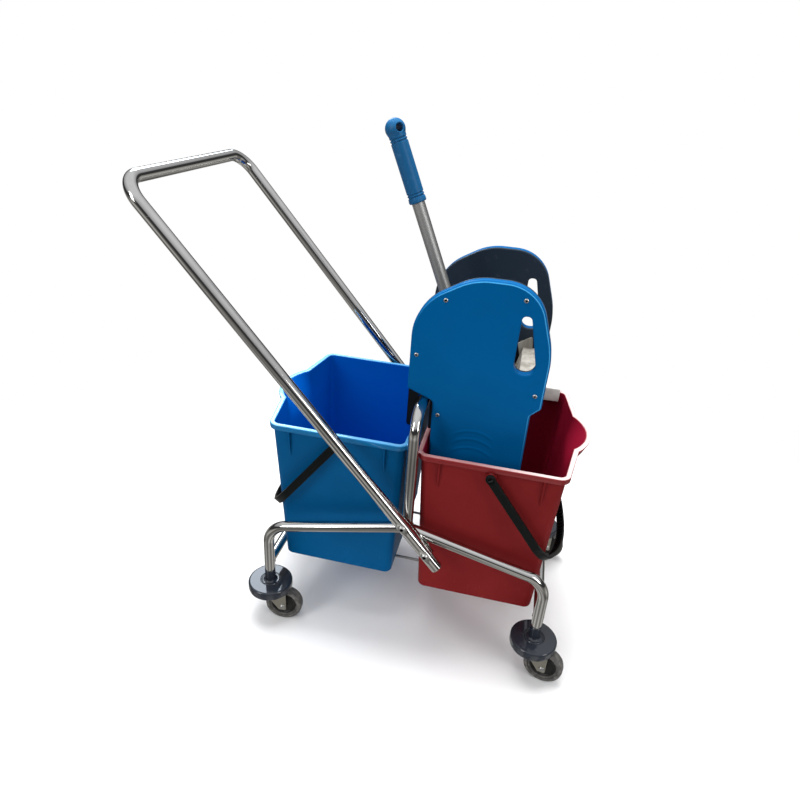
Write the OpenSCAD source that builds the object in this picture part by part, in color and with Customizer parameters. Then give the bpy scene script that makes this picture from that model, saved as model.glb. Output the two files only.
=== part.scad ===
// Double mop bucket trolley: chromed tube frame on four swivel castors, two buckets and a lever wringer.
// X runs along the trolley from the push handle to the wringer, Y runs across it, Z is up from the floor.

/* [Frame] */
// Outside diameter of the frame tube
tube_d = 22; // [20:0.5:24]
// Wall of the frame tube
tube_wall = 1.5; // [1:0.1:2.5]
// Distance between the two side tubes, across the trolley
track = 380; // [376:1:420]
// Gap between the blue bucket's foot and the cross tube at the handle end
rear_gap = 9; // [5:0.5:25]
// Gap between the red bucket's foot and the cross tube at the wringer end
front_gap = 6.5; // [5:0.5:25]
// Height at which a rail would meet its leg without the bend
rail_end_z = 245; // [235:1:260]
// Height of the rails in the middle of the trolley
rail_mid_z = 313; // [305:1:320]
// Bend radius of the legs, at the tube's centre line
leg_bend = 50; // [40:1:55]
// Bend radius of the rails in the middle
mid_bend = 60; // [40:1:80]
// Height of the arch that carries the wringer
arch_z = 557; // [545:1:575]
// Bend radius of the arch
arch_bend = 45; // [35:1:55]
// Outside diameter of the cross tubes between the legs
cross_d = 20; // [18:0.5:20]
// Diameter of the rods under the buckets
rod_d = 6; // [5:0.5:8]
// Distance between the two rods
rod_gap = 164; // [120:2:220]
// Height of the top of the rods
rod_top_z = 143; // [135:1:150]

/* [Push handle] */
// Outside diameter of the handle tube
handle_d = 24; // [20:0.5:26]
// Wall of the handle tube
handle_wall = 1.5; // [1:0.1:2.5]
// Slope of the handle, in degrees from the floor
handle_slope = 49; // [45:1:55]
// Length from the upper bolt to the grip bar
handle_reach = 769; // [650:1:850]
// Bend radius of the grip bar's corners
handle_bend = 45; // [35:1:60]
// Distance between the two bolts of one leg
bolt_pitch = 73; // [60:1:80]
// Length of the leg below its lower bolt
handle_tail = 38; // [25:1:45]
// Height of the upper bolt
bolt_z = 334; // [330:1:340]
// Place of the upper bolt along the trolley
bolt_x = -3; // [-4:0.5:3]
// Diameter of the handle bolts
bolt_d = 8; // [6:0.5:10]
// Diameter of the bolt heads
bolt_head_d = 15; // [13:0.5:16]
// Height of the bolt heads
bolt_head_h = 4.5; // [3.5:0.5:6]
// Depth of the flat under a bolt head
bolt_flat = 3; // [2:0.5:4]
// Thickness of the mounting plates
plate_t = 3; // [2:0.5:5]
// Width of the mounting plates
plate_w = 20; // [16:1:24]

/* [Castors] */
// Diameter of the wheels
wheel_d = 80; // [74:1:81]
// Width of the tyres
tyre_w = 24; // [20:1:26]
// Diameter of the wheel hubs
hub_d = 54; // [44:1:58]
// Diameter of the axle bolts
axle_d = 8; // [6:0.5:10]
// Distance from the swivel axis to the wheel's axle
trail = 30; // [26:1:32]
// Thickness of the fork's sheet
fork_t = 2.5; // [2:0.5:4]
// Gap between the wheel and each fork cheek
fork_gap = 2.5; // [1.5:0.5:4]
// Height of the underside of the fork's crown
crown_z = 83; // [82:0.5:84]
// Diameter of the fork's crown
crown_d = 46; // [42:1:52]
// Diameter of the castor stem
stem_d = 10; // [8:0.5:12]
// Diameter of the bearing flange
race_d = 40; // [36:1:44]
// Thickness of the bearing flange
race_t = 6; // [4:0.5:8]
// Diameter of the bumper discs
bumper_d = 94; // [90:1:104]
// Height of the underside of a bumper disc's edge
bumper_low = 82; // [81.5:0.5:84]
// Height of a bumper disc's edge
bumper_edge = 19; // [17:0.5:22]
// Thickness of a bumper disc's edge
bumper_wall = 4; // [3:0.5:5]
// Height of the raised ring round a bumper's collar
ring_h = 3; // [2:0.5:5]
// Diameter of the collar under a leg
collar_d = 22; // [21:0.5:26]
// Height of the bottom of the legs
leg_z = 131; // [126:1:136]
// How far the plug of a bumper goes into its leg
plug_h = 16; // [10:1:20]
// Angle of the near castor at the handle end, in degrees
near_rear_angle = 6; // [-180:1:180]
// Angle of the near castor at the wringer end
near_front_angle = -12; // [-180:1:180]
// Angle of the far castor at the handle end
far_rear_angle = -10; // [-180:1:180]
// Angle of the far castor at the wringer end
far_front_angle = 0; // [-180:1:180]

/* [Buckets] */
// Length of a bucket over its rim, without the spout
bucket_l = 279; // [264:1:310]
// Width of a bucket over its rim
bucket_w = 368; // [340:1:370]
// Height of a bucket
bucket_h = 338; // [320:1:344]
// How much narrower the floor is at each end
taper_x = 15; // [12:1:20]
// How much narrower the floor is at each side
taper_y = 22; // [18:1:28]
// Wall thickness of a bucket
bucket_wall = 3; // [2:0.5:4]
// Thickness of a bucket's floor
floor_t = 4; // [3:0.5:6]
// Overhang of the rim outside the wall
rim_lip = 7; // [5:0.5:8]
// Height of the rim's lip
rim_h = 12; // [8:1:16]
// Corner radius of a bucket over its rim
corner_r = 22; // [18:1:30]
// How far the middle of the outer end stands out from its corners, at the rim
end_bow = 15; // [0:1:20]
// Width of the pouring spout
spout_w = 138; // [100:2:160]
// Reach of the pouring spout
spout_reach = 26; // [14:1:32]
// Height of the pouring spout
spout_h = 62; // [45:1:80]
// Distance from the middle of the trolley to the blue bucket
blue_gap = 13; // [12.5:0.5:16]
// Distance from the middle of the trolley to the red bucket
red_gap = 5.5; // [5:0.5:7]
// How far the blue bucket stands towards the far side
blue_y = 9; // [-9:0.5:9]
// How far the red bucket stands towards the far side
red_y = -7; // [-7:0.5:7]
// Depth of the bail's corners below its pivots
bail_side = 199; // [190:1:206]
// Slope of the bail's bottom from its corners to its middle, in degrees
bail_slope = 32; // [28:1:34]
// Bend radius outside the bail's corners
bail_corner = 65; // [50:1:75]
// Width of the bail's strap
bail_w = 16; // [14:1:20]
// Thickness of the bail's strap
bail_t = 7; // [5:0.5:7.5]
// Diameter of the bail's pivot pins
pivot_d = 10; // [8:0.5:10.5]
// Depth of the bail's pivots below the rim
pivot_drop = 22; // [20:1:30]
// Distance from a bucket's rim to the bail's arm
bail_stand_off = 1.5; // [1:0.5:3]
// Length of the rim clip
clip_l = 40; // [30:1:44]
// Distance from the bucket's outer end to the middle of the rim clip
clip_end = 42; // [42:1:80]
// Thickness of the rim clip's top
clip_t = 14; // [10:0.5:18]
// Thickness of the rim clip's leg
clip_in_t = 12; // [10:0.5:16]
// Depth of the rim clip inside the bucket
clip_drop = 19; // [15:1:45]

/* [Wringer] */
// Distance from a wringer cover to the side of a bucket's rim
wringer_inset = 54; // [44:1:62]
// Depth of a cover
cover_depth = 16; // [14:0.5:20]
// Wall thickness of a cover
cover_wall = 3; // [2:0.5:4]
// Thickness of the inner shells
shell_t = 6; // [5:0.5:8]
// Left edge of the sides
side_left = -31; // [-34:0.5:-28]
// Right edge of the sides
side_right = 214; // [206:1:222]
// Height of the top of the sides
side_top = 800; // [785:1:815]
// Left edge of the skirt that hangs into the bucket
skirt_left = 18; // [17.5:0.5:22]
// Right edge of the skirt
skirt_right = 196; // [186:1:202]
// Height of the bottom of the skirt
skirt_z = 402; // [380:1:420]
// Diameter of the cover screws' heads
screw_head_d = 8; // [6:0.5:9]
// Diameter of the cover screws
screw_d = 4; // [3:0.5:5]
// Place of the lever's axle along the trolley
lever_x = 44; // [40:0.5:48]
// Height of the lever's axle
lever_z = 640; // [632:1:648]
// Lean of the lever from upright, in degrees
lever_lean = 22.8; // [20:0.2:26]
// Diameter of the lever's axle
lever_axle_d = 16; // [14:0.5:18]
// Outside diameter of the axle bushes
bush_d = 24; // [22:0.5:28]
// Diameter of the lever tube
lever_d = 24; // [20:0.5:26]
// Wall of the lever tube
lever_wall = 2; // [1.5:0.5:3]
// Length from the axle to the middle of the grip's ball
lever_l = 398; // [340:1:440]
// Length of the grip below the middle of its ball
grip_l = 128; // [100:1:150]
// Diameter of the grip
grip_d = 31; // [29:0.5:34]
// Diameter of the grip's ball end
ball_d = 36; // [34:0.5:40]
// Diameter of the hanging hole in the grip
hang_d = 14; // [10:0.5:16]
// Turn of the hanging hole about the lever, in degrees
hang_turn = 45; // [-180:1:180]
// Length of the lever socket above the axle
socket_l = 72; // [50:1:80]
// Width of the lever socket along its axle
socket_w = 44; // [36:1:50]
// Length of the moving jaw below the axle
jaw_l = 150; // [130:1:155]
// Thickness of the moving jaw
jaw_t = 8; // [6:0.5:10]
// Lean of the moving jaw when the lever is up, in degrees
jaw_lean = 8; // [4:1:9]
// Height of the top of the fixed jaw
fixed_jaw_z = 600; // [590:1:610]
// Place of the top of the fixed jaw
fixed_jaw_x = 166; // [160:1:172]
// Slope of the fixed jaw, in degrees from upright
fixed_jaw_lean = 14; // [8:1:16]
// Length of the fixed jaw down its slope
fixed_jaw_l = 176; // [150:1:185]
// Thickness of the fixed jaw
fixed_jaw_t = 5; // [4:0.5:7]
// Diameter of the tie bars between the sides
tie_d = 12; // [10:0.5:16]
// Diameter of the return spring's wire
spring_wire = 3; // [2:0.2:3.4]
// Diameter of the return spring at the middle of its wire
spring_d = 27; // [26:0.5:30]

/* [Hidden] */
$fn = 48;

// Gap between flat or round faces that move past each other
clear = 0.3;
// Radial gap of a pin that turns in its bore
run_fit = 0.05;
// Overlap that lets a cut pass right through a face
eps = 1;

tube_r = tube_d / 2;
rail_y = track / 2;
rod_r = rod_d / 2;
rod_z = rod_top_z - rod_r;
cross_z = rod_top_z + cross_d / 2;

handle_r = handle_d / 2;
handle_y = rail_y + tube_r + plate_t + handle_r;
handle_up = [-cos(handle_slope), 0, sin(handle_slope)];
upper_bolt = [bolt_x, 0, bolt_z];
lower_bolt = upper_bolt - bolt_pitch * handle_up;
handle_top = upper_bolt + handle_reach * handle_up;
handle_foot = lower_bolt - handle_tail * handle_up;
bolt_seat_y = handle_y + handle_r - bolt_flat;
nut_h = 6;
nut_d = 14;

wheel_r = wheel_d / 2;
fork_in = tyre_w / 2 + fork_gap;
axle_head_h = 3.5;
axle_head_d = 13;
crown_t = 4;
stem_head_d = 18;
stem_head_h = 5;
race_z = crown_z + crown_t + clear;
bumper_z = race_z + race_t;
bumper_top = bumper_low + bumper_edge;
angles = [near_rear_angle, near_front_angle, far_rear_angle, far_front_angle];

bucket_z = rod_top_z + clear;
rim_z = bucket_z + bucket_h;
blue_x = -blue_gap - bucket_l / 2;
red_x = red_gap + bucket_l / 2;
pivot_z = rim_z - pivot_drop;
arm_y = bucket_w / 2 + bail_stand_off;
boss_d = pivot_d + 8;
foot_l = bucket_l - rim_lip - taper_x;
rear_reach = blue_gap + foot_l + rear_gap + cross_d / 2;
front_reach = red_gap + foot_l + front_gap + cross_d / 2;
pin_l = 9;

cover_y = bucket_w / 2 - wringer_inset;
shell_out = cover_y - cover_depth;
shell_in = shell_out - shell_t;
screw_seats = [[24, 757], [157, 774], [-19, 650], [198, 604], [30, 536]];
screw_l = cover_depth + shell_t - 2;
tie_r = tie_d / 2;
tie_seats = [[skirt_left + 14, skirt_z + 38], [skirt_right - 20, skirt_z + 46]];
lever_axis = [-sin(lever_lean), 0, cos(lever_lean)];

// The part stands on its origin, in the middle of its length over the handle bar and the farthest tyre
low_x = handle_top[0] - handle_r;
high_x = front_reach + trail + wheel_r;
shift_x = -(low_x + high_x) / 2;

// How far the middle of a bucket's outer end stands out at a height
function bow_at(z) = end_bow * pow(z / bucket_h, 2);

// Half length, half width and corner radius of a bucket's wall at a height
function wall_a(z) = bucket_l / 2 - rim_lip - taper_x * (1 - z / bucket_h);
function wall_b(z) = bucket_w / 2 - rim_lip - taper_y * (1 - z / bucket_h);
wall_r = corner_r - rim_lip;

// Where the outer end of the wall lies at a place across it and a height
function wall_end(y, z) =
    let (straight = wall_b(z) - wall_r, over = max(0, abs(y) - straight))
    z < 0 || over >= wall_r ? -bucket_l
    : wall_a(z) - wall_r + sqrt(wall_r * wall_r - over * over)
        + bow_at(z) * max(0, min(1, (straight - abs(y)) / (straight - spout_w / 2)));

// Outline of the bail in Y and Z below its pivots, and the same moved in by its thickness
bail_y = arm_y + bail_t;
bail_line = [
    [-bail_y, -bail_side, bail_corner], [0, -bail_side - bail_y * tan(bail_slope), 1.45 * bail_y],
    [bail_y, -bail_side, bail_corner], [bail_y, 0, 0.2], [-bail_y, 0, 0.2]
];
bail_outside = rounded(bail_line, 10);
bail_inside = rounded(inset(bail_line, bail_t), 10);

// The bail hangs down until its strap comes to rest against the bucket's outer end
function bail_gap(t) = min([
    for (p = bail_inside)
        let (x = -p[1] * sin(t) - bail_w / 2 * cos(t))
        let (z = bucket_h - pivot_drop + p[1] * cos(t) - bail_w / 2 * sin(t))
        x - wall_end(p[0], z)
]);
function bail_stop(t) = t > 70 || bail_gap(t) > 4 * clear ? t : bail_stop(t + 0.1);
bail_rest = bail_stop(20);

// Figures that the joints and mounts are set from
echo(shift_x=shift_x, rear_reach=rear_reach, front_reach=front_reach, rail_y=rail_y);
echo(wheel_r=wheel_r, trail=trail, angles=angles);
echo(blue_x=blue_x, red_x=red_x, blue_y=blue_y, red_y=red_y);
echo(pivot_z=pivot_z, rim_z=rim_z, bail_rest=bail_rest);
echo(lever=[lever_x + shift_x, 0, lever_z], hang=hang_at(), handle_top=handle_top);

function unit(v) = v / norm(v);

// A frame's matrix from its three axes and its origin
function axes(x, y, z, o) = [
    [x[0], y[0], z[0], o[0]], [x[1], y[1], z[1], o[1]], [x[2], y[2], z[2], o[2]], [0, 0, 0, 1]
];

// Any direction square to v
function across(v) = unit(cross(v, abs(v[2]) < 0.9 ? [0, 0, 1] : [1, 0, 0]));

// Tangent length of the bend at point i of a path
function bend_cut(p, i, bends) =
    i <= 0 || i >= len(p) - 1 ? 0
    : bends[i] * tan(acos(unit(p[i] - p[i - 1]) * unit(p[i + 1] - p[i])) / 2);

// A round bar along straight stretches joined by bends, each a hair thinner and lapped by its neighbours
bend_lap = 0.5;
bend_thin = 0.05;

module bent_bar(p, bends, r) {
    last = len(p) - 2;
    for (i = [0:last]) {
        d = unit(p[i + 1] - p[i]);
        a = p[i] + d * (bend_cut(p, i, bends) - (i > 0 ? bend_lap : 0));
        b = p[i + 1] - d * (bend_cut(p, i + 1, bends) - (i < last ? bend_lap : 0));
        x = across(d);
        multmatrix(axes(x, cross(d, x), d, a)) cylinder(h=norm(b - a), r=r);
        if (i > 0) {
            before = unit(p[i] - p[i - 1]);
            side = unit(d - before * (before * d));
            start = p[i] - before * bend_cut(p, i, bends);
            multmatrix(axes(-side, before, cross(-side, before), start + side * bends[i]))
                rotate_extrude(angle=acos(before * d)) translate([bends[i], 0]) circle(r - bend_thin);
        }
    }
}

// The same path with its two ends drawn out by l
function longer(p, l) = [
    for (i = [0:len(p) - 1])
        i == 0 ? p[0] - l * unit(p[1] - p[0])
        : i == len(p) - 1 ? p[i] + l * unit(p[i] - p[i - 1])
        : p[i]
];

// A round tube along such a path
module bent_tube(p, bends, r, wall) {
    difference() {
        bent_bar(p, bends, r);
        bent_bar(longer(p, eps), bends, r - wall);
    }
}

// Corner points moved inwards by t, for an outline of [x, y, radius] corners drawn anticlockwise
function turn_at(p, i) =
    let (n = len(p), a = p[(i + n - 1) % n], b = p[i], c = p[(i + 1) % n])
    (b[0] - a[0]) * (c[1] - b[1]) - (b[1] - a[1]) * (c[0] - b[0]);
function left_of(a, b) = let (d = unit([b[0] - a[0], b[1] - a[1]])) [-d[1], d[0]];
function inset(p, t) = [
    for (i = [0:len(p) - 1])
        let (n = len(p), n1 = left_of(p[(i + n - 1) % n], p[i]), n2 = left_of(p[i], p[(i + 1) % n]))
        let (m = t * (n1 + n2) / (1 + n1 * n2), r = turn_at(p, i) > 0 ? p[i][2] - t : p[i][2] + t)
        [p[i][0] + m[0], p[i][1] + m[1], max(r, 0.2)]
];

// Outline of [x, y, radius] corners with each corner rounded by an arc of some steps
function rounded(p, steps=8) = [
    for (i = [0:len(p) - 1])
        let (n = len(p), b = [p[i][0], p[i][1]])
        let (before = p[(i + n - 1) % n], after = p[(i + 1) % n])
        let (u = unit([before[0], before[1]] - b), v = unit([after[0], after[1]] - b))
        let (half = acos(u * v) / 2, reach = p[i][2] / tan(half), c = b + unit(u + v) * p[i][2] / sin(half))
        let (s = b + u * reach - c, e = b + v * reach - c)
        let (from = atan2(s[1], s[0]), by = (atan2(e[1], e[0]) - from + 540) % 360 - 180)
        for (k = [0:steps]) c + p[i][2] * [cos(from + by * k / steps), sin(from + by * k / steps)]
];

// A flat outline in X and Z, drawn solid from y to y + t
module slab(y, t) {
    translate([0, y + t, 0]) rotate([90, 0, 0]) linear_extrude(t) children();
}

// A round bar across the trolley from y to y + l
module bar_y(x, z, y, l, r) {
    translate([x, y, z]) rotate([-90, 0, 0]) cylinder(h=l, r=r);
}

// Closed skin over rings of points, all with the same count, capped at both ends
module loft(rings) {
    n = len(rings[0]);
    points = [for (ring = rings) each ring];
    sides = [
        for (k = [0:len(rings) - 2])
            for (i = [0:n - 1])
                let (a = k * n + i, b = k * n + (i + 1) % n)
                each [[a, b + n, b], [a, a + n, b + n]]
    ];
    low = [for (i = [0:n - 1]) i];
    high = [for (i = [n - 1:-1:0]) (len(rings) - 1) * n + i];
    polyhedron(points, concat(sides, [low], [high]), convexity=8);
}

// Puts a piece in the part's frame, in its colour
module finish(c) {
    color(c) translate([shift_x, 0, 0]) children();
}

// Path of a side tube: up one leg, over the rail's peak and down the other leg
function side_path(side) = [
    [-rear_reach, side * rail_y, leg_z], [-rear_reach, side * rail_y, rail_end_z],
    [0, side * rail_y, rail_mid_z],
    [front_reach, side * rail_y, rail_end_z], [front_reach, side * rail_y, leg_z]
];
side_bends = [0, leg_bend, mid_bend, leg_bend, 0];

module near_side_tube() finish("silver") bent_tube(side_path(-1), side_bends, tube_r, tube_wall);

module far_side_tube() finish("silver") bent_tube(side_path(1), side_bends, tube_r, tube_wall);

// The arch stands on the rails, its feet cut to their shape
rail_h = rail_mid_z - rail_end_z;
rail_rise = (atan2(rail_h, rear_reach) + atan2(rail_h, front_reach)) / 2;
arch_foot = rail_mid_z - mid_bend * (1 / cos(rail_rise) - 1) + 2;

module arch_tube() finish("silver") difference() {
    bent_tube(
        [[0, -rail_y, arch_foot], [0, -rail_y, arch_z], [0, rail_y, arch_z], [0, rail_y, arch_foot]],
        [0, arch_bend, arch_bend, 0], tube_r, tube_wall);
    for (side = [-1, 1]) {
        bent_bar(side_path(side), side_bends, tube_r);
        bar_y(upper_bolt[0], upper_bolt[2], side * rail_y - tube_d, 2 * tube_d, bolt_d / 2 + clear);
    }
}

module cross_tube(x) {
    difference() {
        bent_tube([[x, -rail_y, cross_z], [x, rail_y, cross_z]], [0, 0], cross_d / 2, tube_wall);
        for (side = [-1, 1])
            translate([x, side * rail_y, cross_z - cross_d]) cylinder(h=2 * cross_d, r=tube_r);
    }
}

module rear_cross_tube() finish("silver") cross_tube(-rear_reach);

module front_cross_tube() finish("silver") cross_tube(front_reach);

// The rods run under the cross tubes and end below their outer faces
module bucket_rod(y) {
    reach = cross_d / 2 - 1;
    translate([-rear_reach - reach, y, rod_z]) rotate([0, 90, 0])
        cylinder(h=rear_reach + front_reach + 2 * reach, r=rod_r);
}

module near_bucket_rod() finish("dimgray") bucket_rod(-rod_gap / 2);

module far_bucket_rod() finish("dimgray") bucket_rod(rod_gap / 2);

module push_handle() finish("silver") difference() {
    bent_tube(
        [handle_foot - [0, handle_y, 0], handle_top - [0, handle_y, 0],
         handle_top + [0, handle_y, 0], handle_foot + [0, handle_y, 0]],
        [0, handle_bend, handle_bend, 0], handle_r, handle_wall);
    for (p = [upper_bolt, lower_bolt]) {
        bar_y(p[0], p[2], -handle_y - handle_d, 2 * (handle_y + handle_d), bolt_d / 2 + clear);
        bar_y(p[0], p[2], bolt_seat_y, handle_d, bolt_head_d / 2 + clear);
        bar_y(p[0], p[2], -bolt_seat_y - handle_d, handle_d, bolt_head_d / 2 + clear);
    }
}

module handle_plate(side) {
    y = side > 0 ? rail_y + tube_r : -rail_y - tube_r - plate_t;
    middle = (upper_bolt + lower_bolt) / 2;
    difference() {
        translate([middle[0], y + plate_t / 2, middle[2]]) rotate([0, handle_slope, 0])
            cube([bolt_pitch + plate_w, plate_t, plate_w], center=true);
        for (p = [upper_bolt, lower_bolt])
            bar_y(p[0], p[2], y - eps, plate_t + 2 * eps, bolt_d / 2 + clear);
    }
}

module near_handle_plate() finish("silver") handle_plate(-1);

module far_handle_plate() finish("silver") handle_plate(1);

// Inner end of a handle bolt's nut: the upper bolt also goes through the foot of the arch
function nut_y(k) = rail_y + (k == 0 ? -tube_r : tube_r);

module handle_bolts() finish("gainsboro") for (side = [-1, 1]) for (k = [0, 1]) {
    p = k == 0 ? upper_bolt : lower_bolt;
    foot = nut_y(k) - nut_h - 1;
    mirror([0, side > 0 ? 0 : 1, 0]) {
        bar_y(p[0], p[2], foot, bolt_seat_y - foot, bolt_d / 2);
        bar_y(p[0], p[2], bolt_seat_y, bolt_head_h, bolt_head_d / 2);
    }
}

module handle_nuts() finish("gainsboro") for (side = [-1, 1]) for (k = [0, 1]) {
    p = k == 0 ? upper_bolt : lower_bolt;
    mirror([0, side > 0 ? 0 : 1, 0]) difference() {
        translate([p[0], nut_y(k) - nut_h, p[2]]) rotate([-90, 0, 0]) cylinder(h=nut_h, d=nut_d, $fn=6);
        bar_y(p[0], p[2], nut_y(k) - nut_h - eps, nut_h + 2 * eps, bolt_d / 2);
    }
}

// Castors are numbered near rear, near front, far rear, far front
function castor_at(k) = [k % 2 == 0 ? -rear_reach : front_reach, k < 2 ? -rail_y : rail_y, 0];

module at_castor(k) {
    translate(castor_at(k)) rotate(angles[k]) children();
}

// A bumper is hollow underneath, where its fork turns, and has a raised ring round the leg's collar
module bumper(k) finish("darkslategray") translate(castor_at(k)) rotate_extrude() {
    edge = bumper_d / 2;
    ring = collar_d / 2 + 10;
    top = bumper_top;
    bore = stem_d / 2;
    plug = tube_r - tube_wall;
    polygon([
        [bore, bumper_z], [edge - bumper_wall - 3, bumper_z], [edge - bumper_wall, bumper_z - 3],
        [edge - bumper_wall, bumper_low], [edge - 2, bumper_low], [edge, bumper_low + 2], [edge, top - 5],
        [edge - 1.5, top - 1.5], [edge - 5, top], [ring, top + 1], [ring - 1.5, top + 1 + ring_h],
        [ring - 7, top + 1 + ring_h], [collar_d / 2, top + 1], [collar_d / 2, leg_z], [plug, leg_z],
        [plug, leg_z + plug_h], [bore, leg_z + plug_h]
    ]);
}

module castor_stem(k) finish("gainsboro") translate(castor_at(k)) {
    translate([0, 0, crown_z - stem_head_h - clear]) cylinder(h=stem_head_h, d=stem_head_d);
    translate([0, 0, crown_z - stem_head_h]) cylinder(h=leg_z + plug_h - crown_z + stem_head_h, d=stem_d);
    translate([0, 0, race_z]) cylinder(h=race_t, d=race_d);
}

module castor_fork(k) finish("darkkhaki") at_castor(k) difference() {
    union() {
        translate([0, 0, crown_z]) cylinder(h=crown_t, d=crown_d);
        for (side = [-1, 1]) {
            y = side > 0 ? fork_in : -fork_in - fork_t;
            slab(y, fork_t) {
                polygon([
                    [-crown_d / 2 + 9, crown_z + crown_t], [-crown_d / 2 + 9, crown_z - 4],
                    [trail - axle_d * 0.9, wheel_r - axle_d * 0.8],
                    [trail + axle_d * 0.9, wheel_r - axle_d * 0.8],
                    [trail + axle_d * 0.9, crown_z - 6], [trail + axle_d * 0.3, crown_z + crown_t]
                ]);
                translate([trail, wheel_r]) circle(axle_d * 1.2);
            }
        }
    }
    translate([0, 0, crown_z - eps]) cylinder(h=crown_t + 2 * eps, r=stem_d / 2 + run_fit);
    bar_y(trail, wheel_r, -2 * fork_in, 4 * fork_in, axle_d / 2);
}

module wheel_axle(k) finish("gainsboro") at_castor(k) {
    half = fork_in + fork_t;
    bar_y(trail, wheel_r, -half, 2 * half, axle_d / 2);
    bar_y(trail, wheel_r, -half - axle_head_h, axle_head_h, axle_head_d / 2);
    bar_y(trail, wheel_r, half, axle_head_h, axle_head_d / 2);
}

// Turns a profile of radius and width about the wheel's axle
module at_wheel(k) {
    at_castor(k) translate([trail, 0, wheel_r]) rotate([90, 0, 0]) rotate_extrude() children();
}

module wheel_hub(k) finish("black") at_wheel(k) {
    half = tyre_w / 2;
    bore = axle_d / 2 + run_fit;
    rim = hub_d / 2;
    polygon([
        [bore, -fork_in + clear], [axle_d, -fork_in + clear], [axle_d + 1, -half + 5],
        [rim - 3, -half + 3], [rim, -half + 3], [rim, half - 3], [rim - 3, half - 3],
        [axle_d + 1, half - 5], [axle_d, fork_in - clear], [bore, fork_in - clear]
    ]);
}

module tyre(k) finish("gray") at_wheel(k) {
    half = tyre_w / 2;
    rim = hub_d / 2;
    polygon([
        [rim, -half + 1.5], [rim + 2, -half], [wheel_r - 5, -half], [wheel_r - 1.5, -half + 1.5],
        [wheel_r, -half + 5], [wheel_r, half - 5], [wheel_r - 1.5, half - 1.5], [wheel_r - 5, half],
        [rim + 2, half], [rim, half - 1.5]
    ]);
}

// Share of the spout's reach at a height in the bucket
function spout_share(z) = pow(max(0, (z - bucket_h + spout_h) / spout_h), 1.6);

// One ring of a bucket: its wall's outline at height z, grown by g, with the outer end at plus X
function bucket_ring(z, g) =
    let (a = wall_a(z) + g, b = wall_b(z) + g, r = max(wall_r + g, 2))
    let (half = spout_w / 2 + g * 0.7, reach = spout_reach * spout_share(z))
    [
        for (side = [-1, 1]) for (k = [0:6])
            let (t = side < 0 ? 180 + 90 * k / 6 : 270 + 90 * k / 6)
            [side * (a - r) + r * cos(t), -b + r + r * sin(t), z],
        for (k = [-9:9])
            let (t = sin(10 * k))
            [a + bow_at(z) + reach * pow(1 - t * t, 0.88), half * t, z],
        for (side = [1, -1]) for (k = [0:6])
            let (t = side > 0 ? 90 * k / 6 : 90 + 90 * k / 6)
            [side * (a - r) + r * cos(t), b - r + r * sin(t), z]
    ];

module bucket_skin() {
    h = bucket_h;
    steps = [h - spout_h, h - spout_h * 0.7, h - spout_h * 0.45];
    loft(concat(
        [bucket_ring(0, -6), bucket_ring(1.8, -1.8), bucket_ring(6, 0)],
        [for (z = concat([h * 0.3, h * 0.6], steps)) bucket_ring(z, 0)],
        [bucket_ring(h - rim_h, 0), bucket_ring(h - rim_h, rim_lip), bucket_ring(h - 1.8, rim_lip)],
        [bucket_ring(h, rim_lip - 1.8), bucket_ring(h, 1.5 - bucket_wall)],
        [bucket_ring(h - 1.5, -bucket_wall)],
        [for (k = [2:-1:0]) bucket_ring(steps[k], -bucket_wall)],
        [bucket_ring(h * 0.6, -bucket_wall), bucket_ring(h * 0.3, -bucket_wall)],
        [bucket_ring(floor_t + 6, -bucket_wall), bucket_ring(floor_t, -bucket_wall - 6)]
    ));
}

// A bucket with its outer end at plus X: skin, rim gussets and the bosses of the bail
module bucket() {
    rib_h = 58;
    rib_t = 3;
    rib_y = bucket_w / 2 - rim_lip - 2;
    boss_z = bucket_h - pivot_drop;
    wall_y = wall_b(boss_z) - 1.5;
    boss_l = arm_y - clear - wall_y;
    difference() {
        union() {
            bucket_skin();
            for (side = [-1, 1]) {
                for (x = [-0.34, 0.34] * bucket_l)
                    translate([x, side * rib_y, bucket_h - rim_h]) rotate([90, 0, 90])
                        translate([0, 0, -rib_t / 2]) linear_extrude(rib_t)
                            polygon([[side * -1.5, 1], [side * (rim_lip - 1), 1], [side * -5, -rib_h]]);
                bar_y(0, boss_z, side > 0 ? wall_y : -wall_y - boss_l, boss_l, boss_d / 2);
            }
        }
        for (side = [-1, 1])
            bar_y(0, boss_z, side > 0 ? arm_y - pin_l - 1 : -arm_y - 1, pin_l + 2, pivot_d / 2 + run_fit);
    }
}

module blue_bucket() finish("royalblue") translate([blue_x, blue_y, bucket_z]) mirror([1, 0, 0]) bucket();

module red_bucket() finish("firebrick") translate([red_x, red_y, bucket_z]) bucket();

// The bail hanging straight down from the pivots of a bucket, before it is swung out
module bail_loop() {
    translate([-bail_w / 2, 0, 0]) rotate([90, 0, 90]) linear_extrude(bail_w) difference() {
        polygon(bail_outside);
        polygon(bail_inside);
        translate([-arm_y, -2 * bail_t]) square([2 * arm_y, 3 * bail_t]);
    }
    for (side = [-1, 1]) {
        bar_y(0, 0, side > 0 ? arm_y : -bail_y, bail_t, bail_w / 2 + 1);
        bar_y(0, 0, side > 0 ? arm_y - pin_l : -arm_y, pin_l, pivot_d / 2);
    }
}

module blue_bail() finish("black")
    translate([blue_x, blue_y, pivot_z]) rotate([0, bail_rest, 0]) bail_loop();

module red_bail() finish("black")
    translate([red_x, red_y, pivot_z]) rotate([0, -bail_rest, 0]) bail_loop();

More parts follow.
